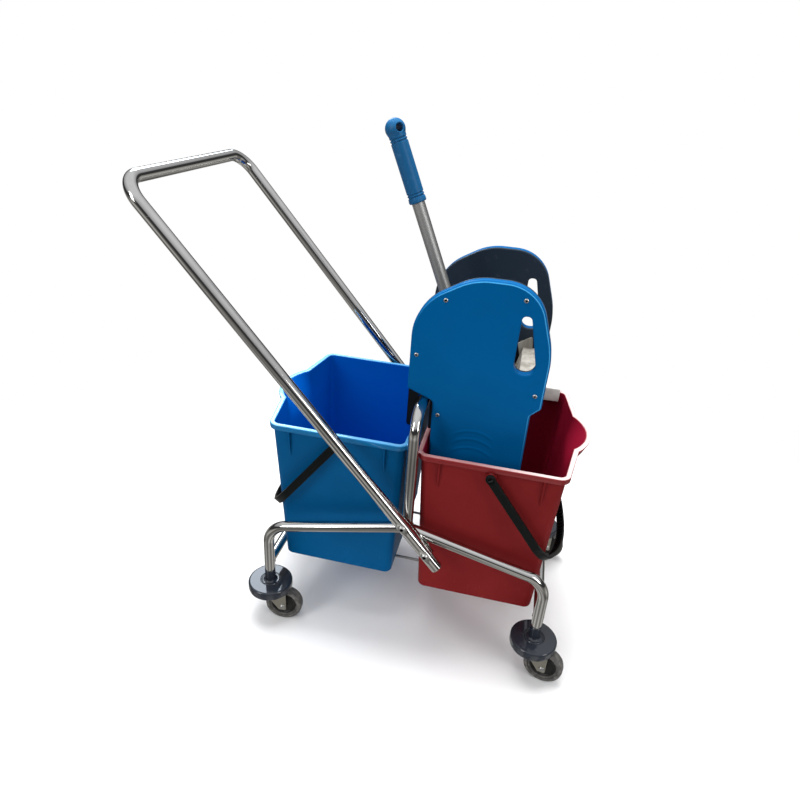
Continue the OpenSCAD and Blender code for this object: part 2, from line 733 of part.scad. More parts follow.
// Clip hooked over the far rim of the red bucket, its leg along the bucket's sloping wall
module rim_clip() finish("ivory") {
    out_y = bucket_w / 2 - clear;
    in_y = bucket_w / 2 - rim_lip - bucket_wall - clear;
    low_y = in_y - clip_drop * taper_y / bucket_h;
    left = red_x + bucket_l / 2 - clip_end - clip_l / 2;
    translate([left, red_y, rim_z]) rotate([90, 0, 90]) linear_extrude(clip_l) polygon(rounded([
        [out_y, 0, 1], [out_y, clip_t, 4], [in_y - clip_in_t, clip_t, 4],
        [low_y - clip_in_t, -clip_drop, 3], [low_y, -clip_drop, 3], [in_y, 0, 0.5]
    ]));
}

// Outline of a wringer side in X and Z, anticlockwise from the foot of its skirt
function side_head() = [
    [side_right - 1, 579, 8], [side_right + 1, side_top - 117, 160], [side_right - 36, side_top, 74],
    [side_left + 99, side_top, 110], [side_left, side_top - 58, 100]
];
skirt_slope = taper_x * (rim_z - skirt_z) / bucket_h;
function skirt_foot() = [
    [skirt_left + skirt_slope, skirt_z, 14], [skirt_right, skirt_z, 14], [skirt_right, 563, 8]
];
function cover_outline() = concat(skirt_foot(), side_head(), [[side_left, 581, 5], [skirt_left, 562, 9]]);

// The shell also reaches down in a hook over the arch
hook_z = rim_z + 14;
slot_half = tube_r + clear;
function shell_outline() = concat(
    skirt_foot(), side_head(),
    [[side_left, hook_z, 6], [-slot_half, hook_z, 2], [-slot_half, arch_z + slot_half, slot_half - 0.4],
     [slot_half, arch_z + slot_half, slot_half - 0.4], [slot_half, hook_z, 1.5], [skirt_left, hook_z, 1.5]]);

// Teardrop hand hole
hand_hole = [[150.5, 641, 17], [192, 641, 17], [172, 748, 8.5], [153.5, 748, 8.5]];

module side_cover() {
    in_depth = cover_depth - cover_wall;
    difference() {
        slab(shell_out, cover_depth) difference() {
            polygon(rounded(cover_outline()));
            polygon(rounded(hand_hole));
        }
        difference() {
            slab(shell_out - eps, in_depth + eps) difference() {
                polygon(rounded(inset(cover_outline(), cover_wall)));
                polygon(rounded(inset(hand_hole, -cover_wall)));
            }
            for (s = screw_seats) bar_y(s[0], s[1], shell_out, in_depth + eps, screw_d + 1);
        }
        for (s = screw_seats) bar_y(s[0], s[1], shell_out - eps, cover_depth + 2 * eps, screw_d / 2 + 0.2);
    }
}

module near_cover() finish("steelblue") mirror([0, 1, 0]) side_cover();

module far_cover() finish("steelblue") side_cover();

module side_shell() {
    difference() {
        slab(shell_in, shell_t) difference() {
            polygon(rounded(shell_outline()));
            polygon(rounded(hand_hole));
        }
        for (s = screw_seats) bar_y(s[0], s[1], shell_in + 2, shell_t, screw_d / 2 + 0.2);
        bar_y(lever_x, lever_z, shell_in - eps, shell_t + 2 * eps, bush_d / 2);
    }
}

module near_shell() finish("black") mirror([0, 1, 0]) side_shell();

// The far shell also carries the post that holds the return spring's fixed tail
module far_shell() finish("black") {
    side_shell();
    bar_y(lever_x + post_x, lever_z + post_up, post_end, shell_in - post_end + eps, post_r);
}

module cover_screws() finish("gainsboro") for (side = [0, 1]) mirror([0, side, 0]) for (s = screw_seats) {
    bar_y(s[0], s[1], cover_y - screw_l, screw_l, screw_d / 2);
    bar_y(s[0], s[1], cover_y, 1.6, screw_head_d / 2);
}

// Sloping jaw between the shells, with a turned-over top, a flange on each shell and rows of drain holes
module fixed_jaw() finish("ivory") {
    lip = 28;
    flange_t = 4;
    half = shell_in;
    hole_r = 5;
    across_n = 7;
    down_n = 4;
    difference() {
        translate([fixed_jaw_x, -half, fixed_jaw_z]) rotate([0, fixed_jaw_lean, 0])
            translate([0, 0, -fixed_jaw_l]) difference() {
                cube([fixed_jaw_t, 2 * half, fixed_jaw_l]);
                for (i = [1:across_n]) for (k = [1:down_n])
                    translate([-eps, i * 2 * half / (across_n + 1), k * fixed_jaw_l / (down_n + 1.5)])
                        rotate([0, 90, 0]) cylinder(h=fixed_jaw_t + 2 * eps, r=hole_r);
            }
        translate([fixed_jaw_x - lip, -half - eps, fixed_jaw_z - fixed_jaw_t / 2])
            cube([2 * lip, 2 * half + 2 * eps, lip]);
    }
    translate([fixed_jaw_x, -half, fixed_jaw_z - fixed_jaw_t]) cube([lip, 2 * half, fixed_jaw_t]);
    for (y = [-half, half - flange_t])
        slab(y, flange_t)
            polygon(rounded([
                [fixed_jaw_x - 12, fixed_jaw_z + 8, 2], [fixed_jaw_x, fixed_jaw_z - 40, 4],
                [fixed_jaw_x + lip - 4, fixed_jaw_z - 40, 4], [fixed_jaw_x + lip - 12, fixed_jaw_z + 26, 3]
            ], 4));
}

module tie_bars() finish("dimgray") for (t = tie_seats) bar_y(t[0], t[1], -shell_in, 2 * shell_in, tie_r);

flange_w = 2;
bush_bore = lever_axle_d / 2 + run_fit;

module axle_bushes() finish("gainsboro") for (side = [0, 1]) mirror([0, side, 0]) difference() {
    union() {
        bar_y(lever_x, lever_z, shell_in - flange_w, shell_t + flange_w, bush_d / 2);
        bar_y(lever_x, lever_z, shell_in - flange_w, flange_w, bush_d / 2 + 3);
    }
    bar_y(lever_x, lever_z, shell_in - flange_w - eps, shell_t + flange_w + 2 * eps, bush_bore);
}

clip_w = 2;
axle_half = shell_out + clear + clip_w + 2;

module lever_axle() finish("gainsboro")
    bar_y(lever_x, lever_z, -axle_half, 2 * axle_half, lever_axle_d / 2);

module axle_clips() finish("dimgray") for (side = [0, 1]) mirror([0, side, 0]) difference() {
    bar_y(lever_x, lever_z, shell_out + clear, clip_w, bush_d / 2 - 1);
    bar_y(lever_x, lever_z, shell_out + clear - eps, clip_w + 2 * eps, lever_axle_d / 2);
}

// Draws along the lever: Z runs up the lever from its axle
module along_lever() {
    translate([lever_x, 0, lever_z]) rotate([0, -lever_lean, 0]) children();
}

socket_r = lever_d / 2 + 3.5;

module lever_socket() finish("dimgray") along_lever() difference() {
    union() {
        cylinder(h=socket_l, r=socket_r);
        bar_y(0, 0, -socket_w / 2, socket_w, lever_axle_d / 2 + 8);
    }
    translate([0, 0, lever_axle_d / 2 + 8]) cylinder(h=socket_l, d=lever_d);
    bar_y(0, 0, -socket_w, 2 * socket_w, lever_axle_d / 2);
}

tube_top = lever_l - ball_d / 2 - 6;

module lever_tube() finish("lightgray") along_lever() difference() {
    translate([0, 0, lever_axle_d / 2 + 8]) cylinder(h=tube_top - lever_axle_d / 2 - 8, d=lever_d);
    translate([0, 0, lever_axle_d / 2 + 8 - eps])
        cylinder(h=tube_top + 2 * eps, d=lever_d - 2 * lever_wall);
}

function hang_at() = [lever_x + shift_x, 0, lever_z] + lever_axis * lever_l;

// Grip with ring grooves near both ends, a ball end and a hanging hole
module lever_grip() finish("steelblue") along_lever() difference() {
    rings = [10, 15, grip_l - ball_d / 2 - 14, grip_l - ball_d / 2 - 9];
    foot = lever_l - grip_l;
    union() {
        translate([0, 0, foot]) cylinder(h=grip_l, d=grip_d);
        translate([0, 0, lever_l]) sphere(d=ball_d);
    }
    translate([0, 0, foot - eps]) cylinder(h=tube_top - foot + eps, d=lever_d);
    for (z = rings) translate([0, 0, foot + z]) difference() {
        cylinder(h=2, d=grip_d + 2);
        translate([0, 0, -eps]) cylinder(h=2 + 2 * eps, d=grip_d - 2);
    }
    rotate(hang_turn) bar_y(0, lever_l, -ball_d, 2 * ball_d, hang_d / 2);
}

// Pressing plate hung on the axle on both sides of the socket, ribbed on its pressing face
jaw_half = shell_in - flange_w - 0.6;
spring_room = 36;

module moving_jaw() finish("black") translate([lever_x, 0, lever_z]) rotate([0, jaw_lean, 0]) {
    hub_r = lever_axle_d / 2 + 6;
    gap = socket_w / 2 + 2;
    rib_n = 9;
    difference() {
        union() {
            bar_y(0, 0, -jaw_half, jaw_half - gap, hub_r);
            bar_y(0, 0, gap, jaw_half - spring_room - gap, hub_r);
            for (span = [[-jaw_half, -gap], [gap, jaw_half - spring_room]])
                translate([-jaw_t / 2, span[0], -jaw_l / 2]) cube([jaw_t, span[1] - span[0], jaw_l / 2]);
            translate([-jaw_t / 2, -jaw_half, -jaw_l]) cube([jaw_t, 2 * jaw_half, jaw_l - 42]);
            for (k = [0:rib_n - 1])
                translate([jaw_t / 2, -jaw_half + 8 + k * (2 * jaw_half - 20) / (rib_n - 1), -jaw_l])
                    cube([4, 4, jaw_l - 50]);
        }
        bar_y(0, 0, -jaw_half - eps, 2 * jaw_half + 2 * eps, lever_axle_d / 2);
    }
}

// Torsion spring: one tube along a helix round the axle, with straight tails square to the axle
spring_turns = 5;
spring_sides = 6;
curl_rings = 8;
spring_low = jaw_half - spring_room + spring_wire / 2 + clear;
spring_pitch = (spring_room - 8) / spring_turns;
spring_high = spring_low + spring_pitch * spring_turns;
post_r = 3;
post_x = spring_d / 2 + spring_wire / 2 + clear + post_r;
post_up = 8;
post_end = spring_high - spring_wire;
function coil_at(t) =
    [spring_d / 2 * cos(360 * t), spring_low + spring_pitch * t, spring_d / 2 * sin(360 * t)];
coil_steps = spring_turns * curl_rings;
tail = [0, 0, 12];
coil_points = concat(
    [coil_at(0) - tail],
    [for (k = [0:coil_steps]) coil_at(k / curl_rings)],
    [coil_at(spring_turns) + tail]);
echo(spring_gap=min([
    for (i = [0:len(coil_points) - 1]) for (j = [i + curl_rings - 2:1:len(coil_points) - 1])
        norm(coil_points[i] - coil_points[j]) - spring_wire
]));

module return_spring() finish("silver") translate([lever_x, 0, lever_z]) {
    n = len(coil_points);
    loft([
        for (i = [0:n - 1])
            let (d = unit(coil_points[min(i + 1, n - 1)] - coil_points[max(i - 1, 0)]))
            let (u = unit(cross(d, [0, 1, 0])), v = cross(d, u))
            [for (k = [0:spring_sides - 1])
                coil_points[i] + spring_wire / 2 * (u * cos(60 * k) + v * sin(60 * k))]
    ]);
}

near_side_tube();
far_side_tube();
arch_tube();
rear_cross_tube();
front_cross_tube();
near_bucket_rod();
far_bucket_rod();
push_handle();
near_handle_plate();
far_handle_plate();
handle_bolts();
handle_nuts();
for (k = [0:3]) {
    bumper(k);
    castor_stem(k);
    castor_fork(k);
    wheel_axle(k);
    wheel_hub(k);
    tyre(k);
}
blue_bucket();
red_bucket();
blue_bail();
red_bail();
rim_clip();
near_cover();
far_cover();
near_shell();
far_shell();
cover_screws();
fixed_jaw();
tie_bars();
axle_bushes();
lever_axle();
axle_clips();
lever_socket();
lever_tube();
lever_grip();
moving_jaw();
return_spring();
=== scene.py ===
import math

import bmesh
import bpy
import numpy as np
from mathutils import Matrix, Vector
from mathutils.geometry import tessellate_polygon


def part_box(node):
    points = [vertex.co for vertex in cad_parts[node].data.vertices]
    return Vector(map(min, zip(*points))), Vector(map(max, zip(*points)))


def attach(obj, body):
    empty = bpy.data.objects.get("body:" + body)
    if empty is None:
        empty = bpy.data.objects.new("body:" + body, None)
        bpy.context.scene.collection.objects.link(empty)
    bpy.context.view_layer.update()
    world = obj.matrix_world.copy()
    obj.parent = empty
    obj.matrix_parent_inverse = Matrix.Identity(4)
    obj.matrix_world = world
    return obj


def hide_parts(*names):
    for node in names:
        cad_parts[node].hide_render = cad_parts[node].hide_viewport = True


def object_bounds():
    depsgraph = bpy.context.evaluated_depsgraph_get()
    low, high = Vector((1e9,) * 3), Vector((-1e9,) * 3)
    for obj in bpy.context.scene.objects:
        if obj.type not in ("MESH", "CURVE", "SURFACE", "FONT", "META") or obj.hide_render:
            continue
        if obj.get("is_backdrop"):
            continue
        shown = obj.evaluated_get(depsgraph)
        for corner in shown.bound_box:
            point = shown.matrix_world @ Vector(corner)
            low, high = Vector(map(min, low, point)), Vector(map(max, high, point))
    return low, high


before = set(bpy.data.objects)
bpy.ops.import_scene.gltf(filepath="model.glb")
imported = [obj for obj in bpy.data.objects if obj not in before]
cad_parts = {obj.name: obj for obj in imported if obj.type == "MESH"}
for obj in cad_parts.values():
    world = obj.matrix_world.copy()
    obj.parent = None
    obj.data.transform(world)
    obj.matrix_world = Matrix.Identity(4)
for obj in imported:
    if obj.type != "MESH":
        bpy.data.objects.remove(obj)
cad_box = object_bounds()


# Viewpoint: a hand-held wide view from above the near side, slightly to the wringer's end and slightly
# rolled. Its focal length is 626 pixels of an 800-pixel square frame.
arch_low, arch_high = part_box("arch_tube")
mid_x = (arch_low.x + arch_high.x) / 2
eye = np.array([mid_x + 0.1544, -1.1437, 1.0913])
aim = np.array([mid_x - 0.0679, 0.0, 0.4856])
roll = math.radians(4.1)
focal_px, frame_px, sensor = 625.7, 800, 36.0


def unit(v):
    """A vector, or each row of an array of vectors, over its length."""
    v = np.asarray(v, float)
    return v / np.linalg.norm(v, axis=-1, keepdims=True)


def placed(axes, at):
    """The matrix that puts an object at a point, with its own axes along the given ones."""
    return Matrix([[*row, e] for row, e in zip(np.array(axes).T, at)] + [[0, 0, 0, 1]])


forward = unit(aim - eye)
level = unit(np.cross(forward, [0, 0, 1]))
rise = np.cross(level, forward)
right = level * math.cos(roll) + rise * math.sin(roll)
up = rise * math.cos(roll) - level * math.sin(roll)
lens = bpy.data.cameras.new("viewpoint")
lens.sensor_width = sensor
lens.lens = sensor * focal_px / frame_px
lens.clip_start, lens.clip_end = 0.05, 100
viewpoint = bpy.data.objects.new("viewpoint", lens)
bpy.context.scene.collection.objects.link(viewpoint)
viewpoint.matrix_world = placed([right, up, -forward], eye)
bpy.context.scene.camera = viewpoint


# Studio: a white floor that fades into a white backdrop, lit by soft boxes from above and from both sides in
# front. The window behind gives only reflections. Chrome mirrors a duller ground and a dark horizon, as in a
# workshop.
bpy.context.scene.view_settings.view_transform = "Standard"


class Sock:
    """A shader socket. Arithmetic on it adds Math nodes to its tree."""

    def __init__(self, tree, socket):
        self.tree, self.socket = tree, socket

    def math(self, operation, *values):
        return shade(self.tree, "ShaderNodeMath", {"operation": operation}, dict(enumerate(values)))

    def __add__(self, other):
        return self.math("ADD", self, other)

    def __radd__(self, other):
        return self.math("ADD", other, self)

    def __sub__(self, other):
        return self.math("SUBTRACT", self, other)

    def __rsub__(self, other):
        return self.math("SUBTRACT", other, self)

    def __mul__(self, other):
        return self.math("MULTIPLY", self, other)

    def __rmul__(self, other):
        return self.math("MULTIPLY", other, self)

    def __pow__(self, other):
        return self.math("POWER", self, other)

    def __gt__(self, other):
        return self.math("GREATER_THAN", self, other)

    def __lt__(self, other):
        return self.math("LESS_THAN", self, other)

    def step(self, low, high):
        """0 below low, 1 above high and a smooth rise between them."""
        return shade(self.tree, "ShaderNodeMapRange", {"interpolation_type": "SMOOTHSTEP"},
                     {"Value": self, "From Min": low, "From Max": high})

    def split(self):
        """The three numbers of a vector."""
        first = shade(self.tree, "ShaderNodeSeparateXYZ", None, {0: self})
        return [Sock(self.tree, number) for number in first.socket.node.outputs]

    def mix(self, a, b):
        """Colour a where this is 0, colour b where it is 1."""
        return shade(self.tree, "ShaderNodeMix", {"data_type": "RGBA"}, {0: self, 6: a, 7: b}, 2)


def feed(tree, socket, value):
    """Links another socket to an input, or sets the input to a number, vector or colour."""
    if isinstance(value, Sock):
        tree.links.new(value.socket, socket)
    else:
        socket.default_value = (*value[:3], 1) if socket.type == "RGBA" else value


def shade(tree, kind, settings=None, values=None, out=0):
    """Adds a node, sets its settings, then its sockets by name or number, and gives one of its outputs."""
    node = tree.nodes.new(kind)
    for key, value in (settings or {}).items():
        if key == "stops":
            ramp = node.color_ramp
            while len(ramp.elements) < len(value):
                ramp.elements.new(0.5)
            for element, (place, colour) in zip(ramp.elements, value):
                element.position, element.color = place, (*colour, 1)
        else:
            setattr(node, key, value)
    for key, value in (values or {}).items():
        feed(tree, node.inputs[key], value)
    return Sock(tree, node.outputs[out])


class Finish:
    """A node material: places on the piece, noise over it, and the sockets of its one surface shader."""

    def __init__(self, name, **fixed):
        self.material = bpy.data.materials.new(name)
        self.material.use_nodes = True
        self.tree = self.material.node_tree
        self.shader = self.tree.nodes["Principled BSDF"]
        self.place = shade(self.tree, "ShaderNodeTexCoord", out=3)
        self.set(**fixed)

    def set(self, **values):
        """Feeds the shader's inputs, named with underscores for spaces."""
        for key, value in values.items():
            feed(self.tree, self.shader.inputs[key.replace("_", " ")], value)

    def xyz(self, at=(0, 0, 0)):
        """The three coordinates, in metres, measured from a point."""
        return shade(self.tree, "ShaderNodeMapping", {"vector_type": "TEXTURE"},
                     {"Vector": self.place, "Location": at}).split()

    def noise(self, size, detail=4.0, rough=0.55, stretch=(1, 1, 1), turn=(0, 0, 0)):
        """Cloudy noise from 0 to 1 whose blotches are about size metres across, drawn out by stretch."""
        scaled = shade(self.tree, "ShaderNodeMapping", {"vector_type": "TEXTURE"},
                       {"Vector": self.place, "Scale": stretch, "Rotation": turn})
        return shade(self.tree, "ShaderNodeTexNoise", None,
                     {"Vector": scaled, "Scale": 1 / size, "Detail": detail, "Roughness": rough})

    def upward(self):
        """How far the surface faces upwards, from -1 to 1: some finishes paint a highlight or put more coat on
        such faces.
        """
        return shade(self.tree, "ShaderNodeNewGeometry", out=1).split()[2]

    def inner(self):
        """The share that each point of a piece has in its attribute inner."""
        return shade(self.tree, "ShaderNodeAttribute", {"attribute_name": "inner"}, None, 2)

    def bump(self, height, depth):
        """Relief of a height from 0 to 1, depth metres deep."""
        relief = shade(self.tree, "ShaderNodeBump", None,
                       {"Height": height, "Distance": depth, "Strength": 1.0})
        self.set(Normal=relief)


def quads(base, rows, cols, wrap_rows=False):
    """Corner numbers of the quads between neighbouring rows and columns of a grid whose columns close up."""
    i, j = np.arange(rows if wrap_rows else rows - 1)[:, None], np.arange(cols)[None, :]
    corner = lambda r, c: base + (r % rows) * cols + c % cols
    fours = np.stack([corner(i, j), corner(i, j + 1), corner(i + 1, j + 1), corner(i + 1, j)], -1)
    return fours.reshape(-1, 4).tolist()


def skin(name, grid, material, wrap_rows=False, close=True, inner=None):
    """A mesh of quads over one grid of points or a list of them; close fills the open ends."""
    points, faces, base = [], [], 0
    for g in grid if isinstance(grid, list) else [grid]:
        rows, cols = g.shape[:2]
        faces += quads(base, rows, cols, wrap_rows)
        if close and not wrap_rows:
            ends = [np.arange(cols)[::-1], (rows - 1) * cols + np.arange(cols)]
            faces += [(base + end).tolist() for end in ends]
        points.append(g.reshape(-1, 3))
        base += rows * cols
    return mesh_piece(name, np.concatenate(points), faces, material, inner)


def mesh_piece(name, points, faces, material, inner=None):
    """An object over points and faces, with doubles merged and faces turned outwards. Faces with over 4 sides
    stay flat. A share for each point, such as 1 on the inside of a hollow piece, goes into attribute inner."""
    mesh = bpy.data.meshes.new(name)
    mesh.from_pydata(points.tolist(), [], faces)
    if inner is not None:
        mesh.attributes.new("inner", "FLOAT", "POINT").data.foreach_set("value", inner)
    work = bmesh.new()
    work.from_mesh(mesh)
    bmesh.ops.remove_doubles(work, verts=work.verts, dist=2e-6)
    bmesh.ops.recalc_face_normals(work, faces=work.faces)
    for face in work.faces:
        face.smooth = len(face.verts) <= 4
    work.to_mesh(mesh)
    work.free()
    piece = bpy.data.objects.new(name, mesh)
    bpy.context.scene.collection.objects.link(piece)
    mesh.materials.append(material.material)
    return piece


floor_white = Finish("floor_white", Roughness=0.9, Specular_IOR_Level=0.1)
fx, fy, _ = floor_white.xyz((mid_x, 0, 0))
floor_tone = floor_white.noise(0.7, 2.0).step(0.2, 0.8)
floor_white.set(Base_Color=floor_tone.mix((0.90, 0.90, 0.90), (0.92, 0.92, 0.92)),
                Alpha=1 - ((fx * fx + fy * fy) ** 0.5).step(0.75, 1.5))
reach = np.linspace(0, 1, 12)[:, None] ** 2 * 6
around = np.linspace(0, 2 * math.pi, 48, endpoint=False)[None, :]
floor_disc = np.stack([mid_x + reach * np.cos(around), reach * np.sin(around), 0 * reach * around], -1)
studio_floor = skin("studio_floor", floor_disc, floor_white, close=False)
studio_floor.visible_glossy = False
studio_floor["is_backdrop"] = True

world = bpy.data.worlds.new("studio")
world.use_nodes = True
bpy.context.scene.world = world
wx, wy, wz = shade(world.node_tree, "ShaderNodeTexCoord", out=0).split()
dome_stops = [(0.0, (0.55, 0.54, 0.52)), (0.12, (0.70, 0.69, 0.66)), (0.22, (0.22, 0.21, 0.20)),
              (0.33, (0.58, 0.57, 0.54)), (0.45, (0.30, 0.29, 0.27)), (0.49, (0.04, 0.04, 0.04)),
              (0.63, (0.05, 0.05, 0.055)), (0.68, (0.42, 0.42, 0.43)), (0.90, (0.85, 0.86, 0.88))]
dome = shade(world.node_tree, "ShaderNodeValToRGB", {"stops": dome_stops}, {0: wz * 0.5 + 0.5})
panels = wx.math("SINE", wx.math("ARCTAN2", wx, wy) * 5).step(-0.4, 0.5)
room = ((wz < 0) * (1 - panels) * 0.6).mix(dome, (0.02, 0.02, 0.02))
seen = shade(world.node_tree, "ShaderNodeLightPath", out=0)
backdrop = world.node_tree.nodes["Background"]
feed(world.node_tree, backdrop.inputs["Color"], seen.mix(room, (1.0, 1.0, 1.0)))
feed(world.node_tree, backdrop.inputs["Strength"], 1.0)
white, sky = (1, 1, 1), (0.78, 0.88, 1.0)
lamps = [("overhead_box", (mid_x - 0.2, 0.25, 2.8), (mid_x, 0, 0.3), 1.8, 1.5, 100, white, True, False),
         ("camera_side_box", (mid_x - 1.9, -2.6, 1.9), (mid_x, 0, 0.4), 1.0, 1.8, 34, white, True, True),
         ("end_box", (mid_x + 2.6, -1.6, 1.5), (mid_x, 0, 0.4), 0.8, 1.6, 24, white, True, True),
         ("back_window", (mid_x - 1.5, 2.2, 2.5), (mid_x - 0.2, 0, 0.1), 1.3, 1.3, 40, sky, False, True)]
for name, at, towards, wide, tall, power, tone, matt, glossy in lamps:
    lamp = bpy.data.lights.new(name, "AREA")
    lamp.shape, lamp.size, lamp.size_y, lamp.energy, lamp.color = "RECTANGLE", wide, tall, power, tone
    box = bpy.data.objects.new(name, lamp)
    box.visible_diffuse, box.visible_glossy = matt, glossy
    bpy.context.scene.collection.objects.link(box)
    out = unit(np.array(at) - np.array(towards))
    side = unit(np.cross([0, 0, 1], out))
    box.matrix_world = placed([side, np.cross(out, side), out], at)


# Side tubes: one bent steel tube a side makes both castor legs and the rail between them, which peaks in the
# middle. The tubes are chromed all over after bending.
def fillet(before, at, after, bend, count=None):
    """Points of the arc of radius bend that touches both sides of a corner: count of them, or one about every
    2.4 mm."""
    into, out = unit(at - before), unit(after - at)
    half = math.acos(np.clip(into @ out, -1, 1)) / 2
    inward = unit(out - into)
    sweep = np.linspace(-half, half, count or max(6, int(half * bend / 0.0012)))[:, None]
    centre = at + inward * bend / math.cos(half)
    return centre + bend * (np.sin(sweep) * unit(into + out) - np.cos(sweep) * inward)


def bent_path(corners, bends, step=0.05):
    """Points along straight stretches joined by arcs of the bend radii. Stretches of two steps or more are cut
    up."""
    corners = np.asarray(corners, float)
    arcs = [fillet(*near, bend) for *near, bend in zip(corners[:-2], corners[1:-1], corners[2:], bends)]
    path = np.concatenate([corners[:1], *arcs, corners[-1:]])
    filled = []
    for a, b in zip(path[:-1], path[1:]):
        count = max(1, int(np.linalg.norm(b - a) / step))
        filled.append(a + (b - a) * np.arange(count)[:, None] / count)
    return np.concatenate(filled + [path[-1:]])


def carry(path, section, square):
    """A flat section carried along a path in one plane: its first number runs inward in the plane, its second
    along square, the direction across the plane."""
    along = unit(np.gradient(path, axis=0))
    inward = unit(np.cross(square, along))
    section = np.asarray(section, float)
    return (path[:, None, :] + section[None, :, :1] * inward[:, None, :]
            + section[None, :, 1:] * np.asarray(square, float)[None, None, :])


def round_section(radius, count=40):
    """Points of a circle."""
    turn = np.linspace(0, 2 * math.pi, count, endpoint=False)
    return radius * np.stack([np.cos(turn), np.sin(turn)], -1)


def pipe(path, radius, square, wall=0.0015):
    """A tube with open, slightly rounded ends: the outside, both rims and 30 mm of the bore at each end."""
    ring = carry(path, round_section(1), square) - path[:, None, :]
    into, out = unit(path[1] - path[0]), unit(path[-1] - path[-2])
    edge = [(0.03, wall), (0.0006, wall), (0, wall), (0, 0.0004), (0.0005, 0), (0.0012, 0)]
    rows = [path[0] + into * h + ring[0] * (radius - w) for h, w in edge]
    rows += [p + r * radius for p, r in zip(path[1:-1], ring[1:-1])]
    rows += [path[-1] - out * h + ring[-1] * (radius - w) for h, w in edge[::-1]]
    return np.array(rows)


def bright_chrome(name, tint=(0.64, 0.635, 0.62), gloss=0.05):
    """Chrome plate: a mirror with cloudy finger smears, fine polishing lines and a few dull specks."""
    chrome = Finish(name, Metallic=1.0)
    smear = chrome.noise(0.06, 5.0, 0.6).step(0.45, 0.75)
    speck = chrome.noise(0.004, 2.0).step(0.68, 0.76)
    chrome.set(Base_Color=smear.mix(tint, [t * 0.86 for t in tint]),
               Roughness=gloss + smear * 0.09 + speck * 0.16)
    chrome.bump(chrome.noise(0.0016, 2.0) * 0.3 + chrome.noise(0.03, 2.0) * 0.7, 0.00003)
    return chrome


frame_chrome = bright_chrome("frame_chrome")
tube_r = 0.011
rail_y, rear_leg, front_leg, leg_foot = 0.190, -0.289, 0.279, 0.131
rail_end_z, rail_mid_z, leg_bend, mid_bend = 0.245, 0.313, 0.05, 0.06
for side, word in ((-1, "near"), (1, "far")):
    corners = [(rear_leg, leg_foot), (rear_leg, rail_end_z), (0, rail_mid_z), (front_leg, rail_end_z),
               (front_leg, leg_foot)]
    run = bent_path([[mid_x + x, side * rail_y, z] for x, z in corners], [leg_bend, mid_bend, leg_bend])
    tube = skin(word + "_leg_and_rail", pipe(run, tube_r, [0, 1, 0]), frame_chrome, close=False)
    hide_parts(word + "_side_tube")
    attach(tube, "chassis")


# Arch and cross tubes: the arch stands on the two rails and carries the wringer, and its feet are cut to the
# rails and welded. A straight cross tube joins the legs at each end. A bead of weld runs round every joint.
arch_foot, arch_z, arch_bend = 0.3133, 0.557, 0.045
arch_corners = [(-rail_y, arch_foot), (-rail_y, arch_z), (rail_y, arch_z), (rail_y, arch_foot)]
arch = bent_path([[mid_x, y, z] for y, z in arch_corners], [arch_bend, arch_bend])
arch_pipe = skin("wringer_arch", pipe(arch, tube_r, [1, 0, 0]), frame_chrome, close=False)
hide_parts("arch_tube")
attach(arch_pipe, "chassis")
cross_r, cross_z = 0.010, 0.153
for x, word in ((rear_leg, "rear"), (front_leg, "front")):
    run = bent_path([[mid_x + x, -rail_y + 0.006, cross_z], [mid_x + x, rail_y - 0.006, cross_z]], [])
    bar = skin(word + "_cross_bar", pipe(run, cross_r, [0, 0, 1]), frame_chrome, close=False)
    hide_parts(word + "_cross_tube")
    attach(bar, "chassis")


def weld_bead(centre, out, across, ring, tube, fat=0.0016):
    """A rippled bead where a tube of radius ring stands on a tube of radius tube: it follows the saddle
    between them."""
    centre, out, across = (np.asarray(v, float) for v in (centre, out, across))
    along = np.cross(out, across)
    turn = np.linspace(0, 2 * math.pi, 97)[:-1]
    reach = ring + 0.0004
    drop = np.sqrt(np.maximum(tube ** 2 - (reach * np.sin(turn)) ** 2, 0.0)) + 0.0002
    spine = (centre + np.outer(reach * np.cos(turn), along) + np.outer(reach * np.sin(turn), across)
             + np.outer(drop, out))
    thick = fat * (1 + 0.18 * np.cos(24 * turn))
    radial = unit(np.outer(np.cos(turn), along) + np.outer(np.sin(turn), across))
    small = np.linspace(0, 2 * math.pi, 9)[:-1]
    return (spine[:, None, :] + thick[:, None, None] * (np.cos(small)[None, :, None] * radial[:, None, :]
            + np.sin(small)[None, :, None] * out[None, None, :]))


weld_chrome = bright_chrome("weld_chrome", (0.45, 0.44, 0.42), 0.18)
rail_peak = 0.3113
beads = [weld_bead([mid_x, s * rail_y, rail_peak], [0, 0, 1], [0, 1, 0], tube_r, tube_r) for s in (-1, 1)]
beads += [weld_bead([mid_x + x, s * rail_y, cross_z], [0, -s, 0], [1, 0, 0], cross_r, tube_r)
          for s in (-1, 1) for x in (rear_leg, front_leg)]
welds = skin("frame_welds", beads, weld_chrome, wrap_rows=True)
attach(welds, "chassis")


# Bucket rods: two straight plated steel wires run under the cross tubes, welded to them, and carry the
# buckets' floors. Their plating is duller than the frame's chrome.
wire_steel = Finish("wire_steel", Metallic=1.0)
wire_steel.set(Base_Color=wire_steel.noise(0.02).mix((0.50, 0.50, 0.50), (0.36, 0.35, 0.34)),
               Roughness=0.22 + 0.2 * wire_steel.noise(0.01))
wire_steel.bump(wire_steel.noise(0.003), 0.0001)
rod_y, rod_z, rod_r, rod_past = 0.082, 0.140, 0.003, 0.009
for y, word in ((-rod_y, "near"), (rod_y, "far")):
    run = bent_path([[mid_x + rear_leg - rod_past, y, rod_z], [mid_x + front_leg + rod_past, y, rod_z]], [])
    wire = skin(word + "_rod", carry(run, round_section(rod_r, 20), [0, 1, 0]), wire_steel)
    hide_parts(word + "_bucket_rod")
    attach(wire, "chassis")


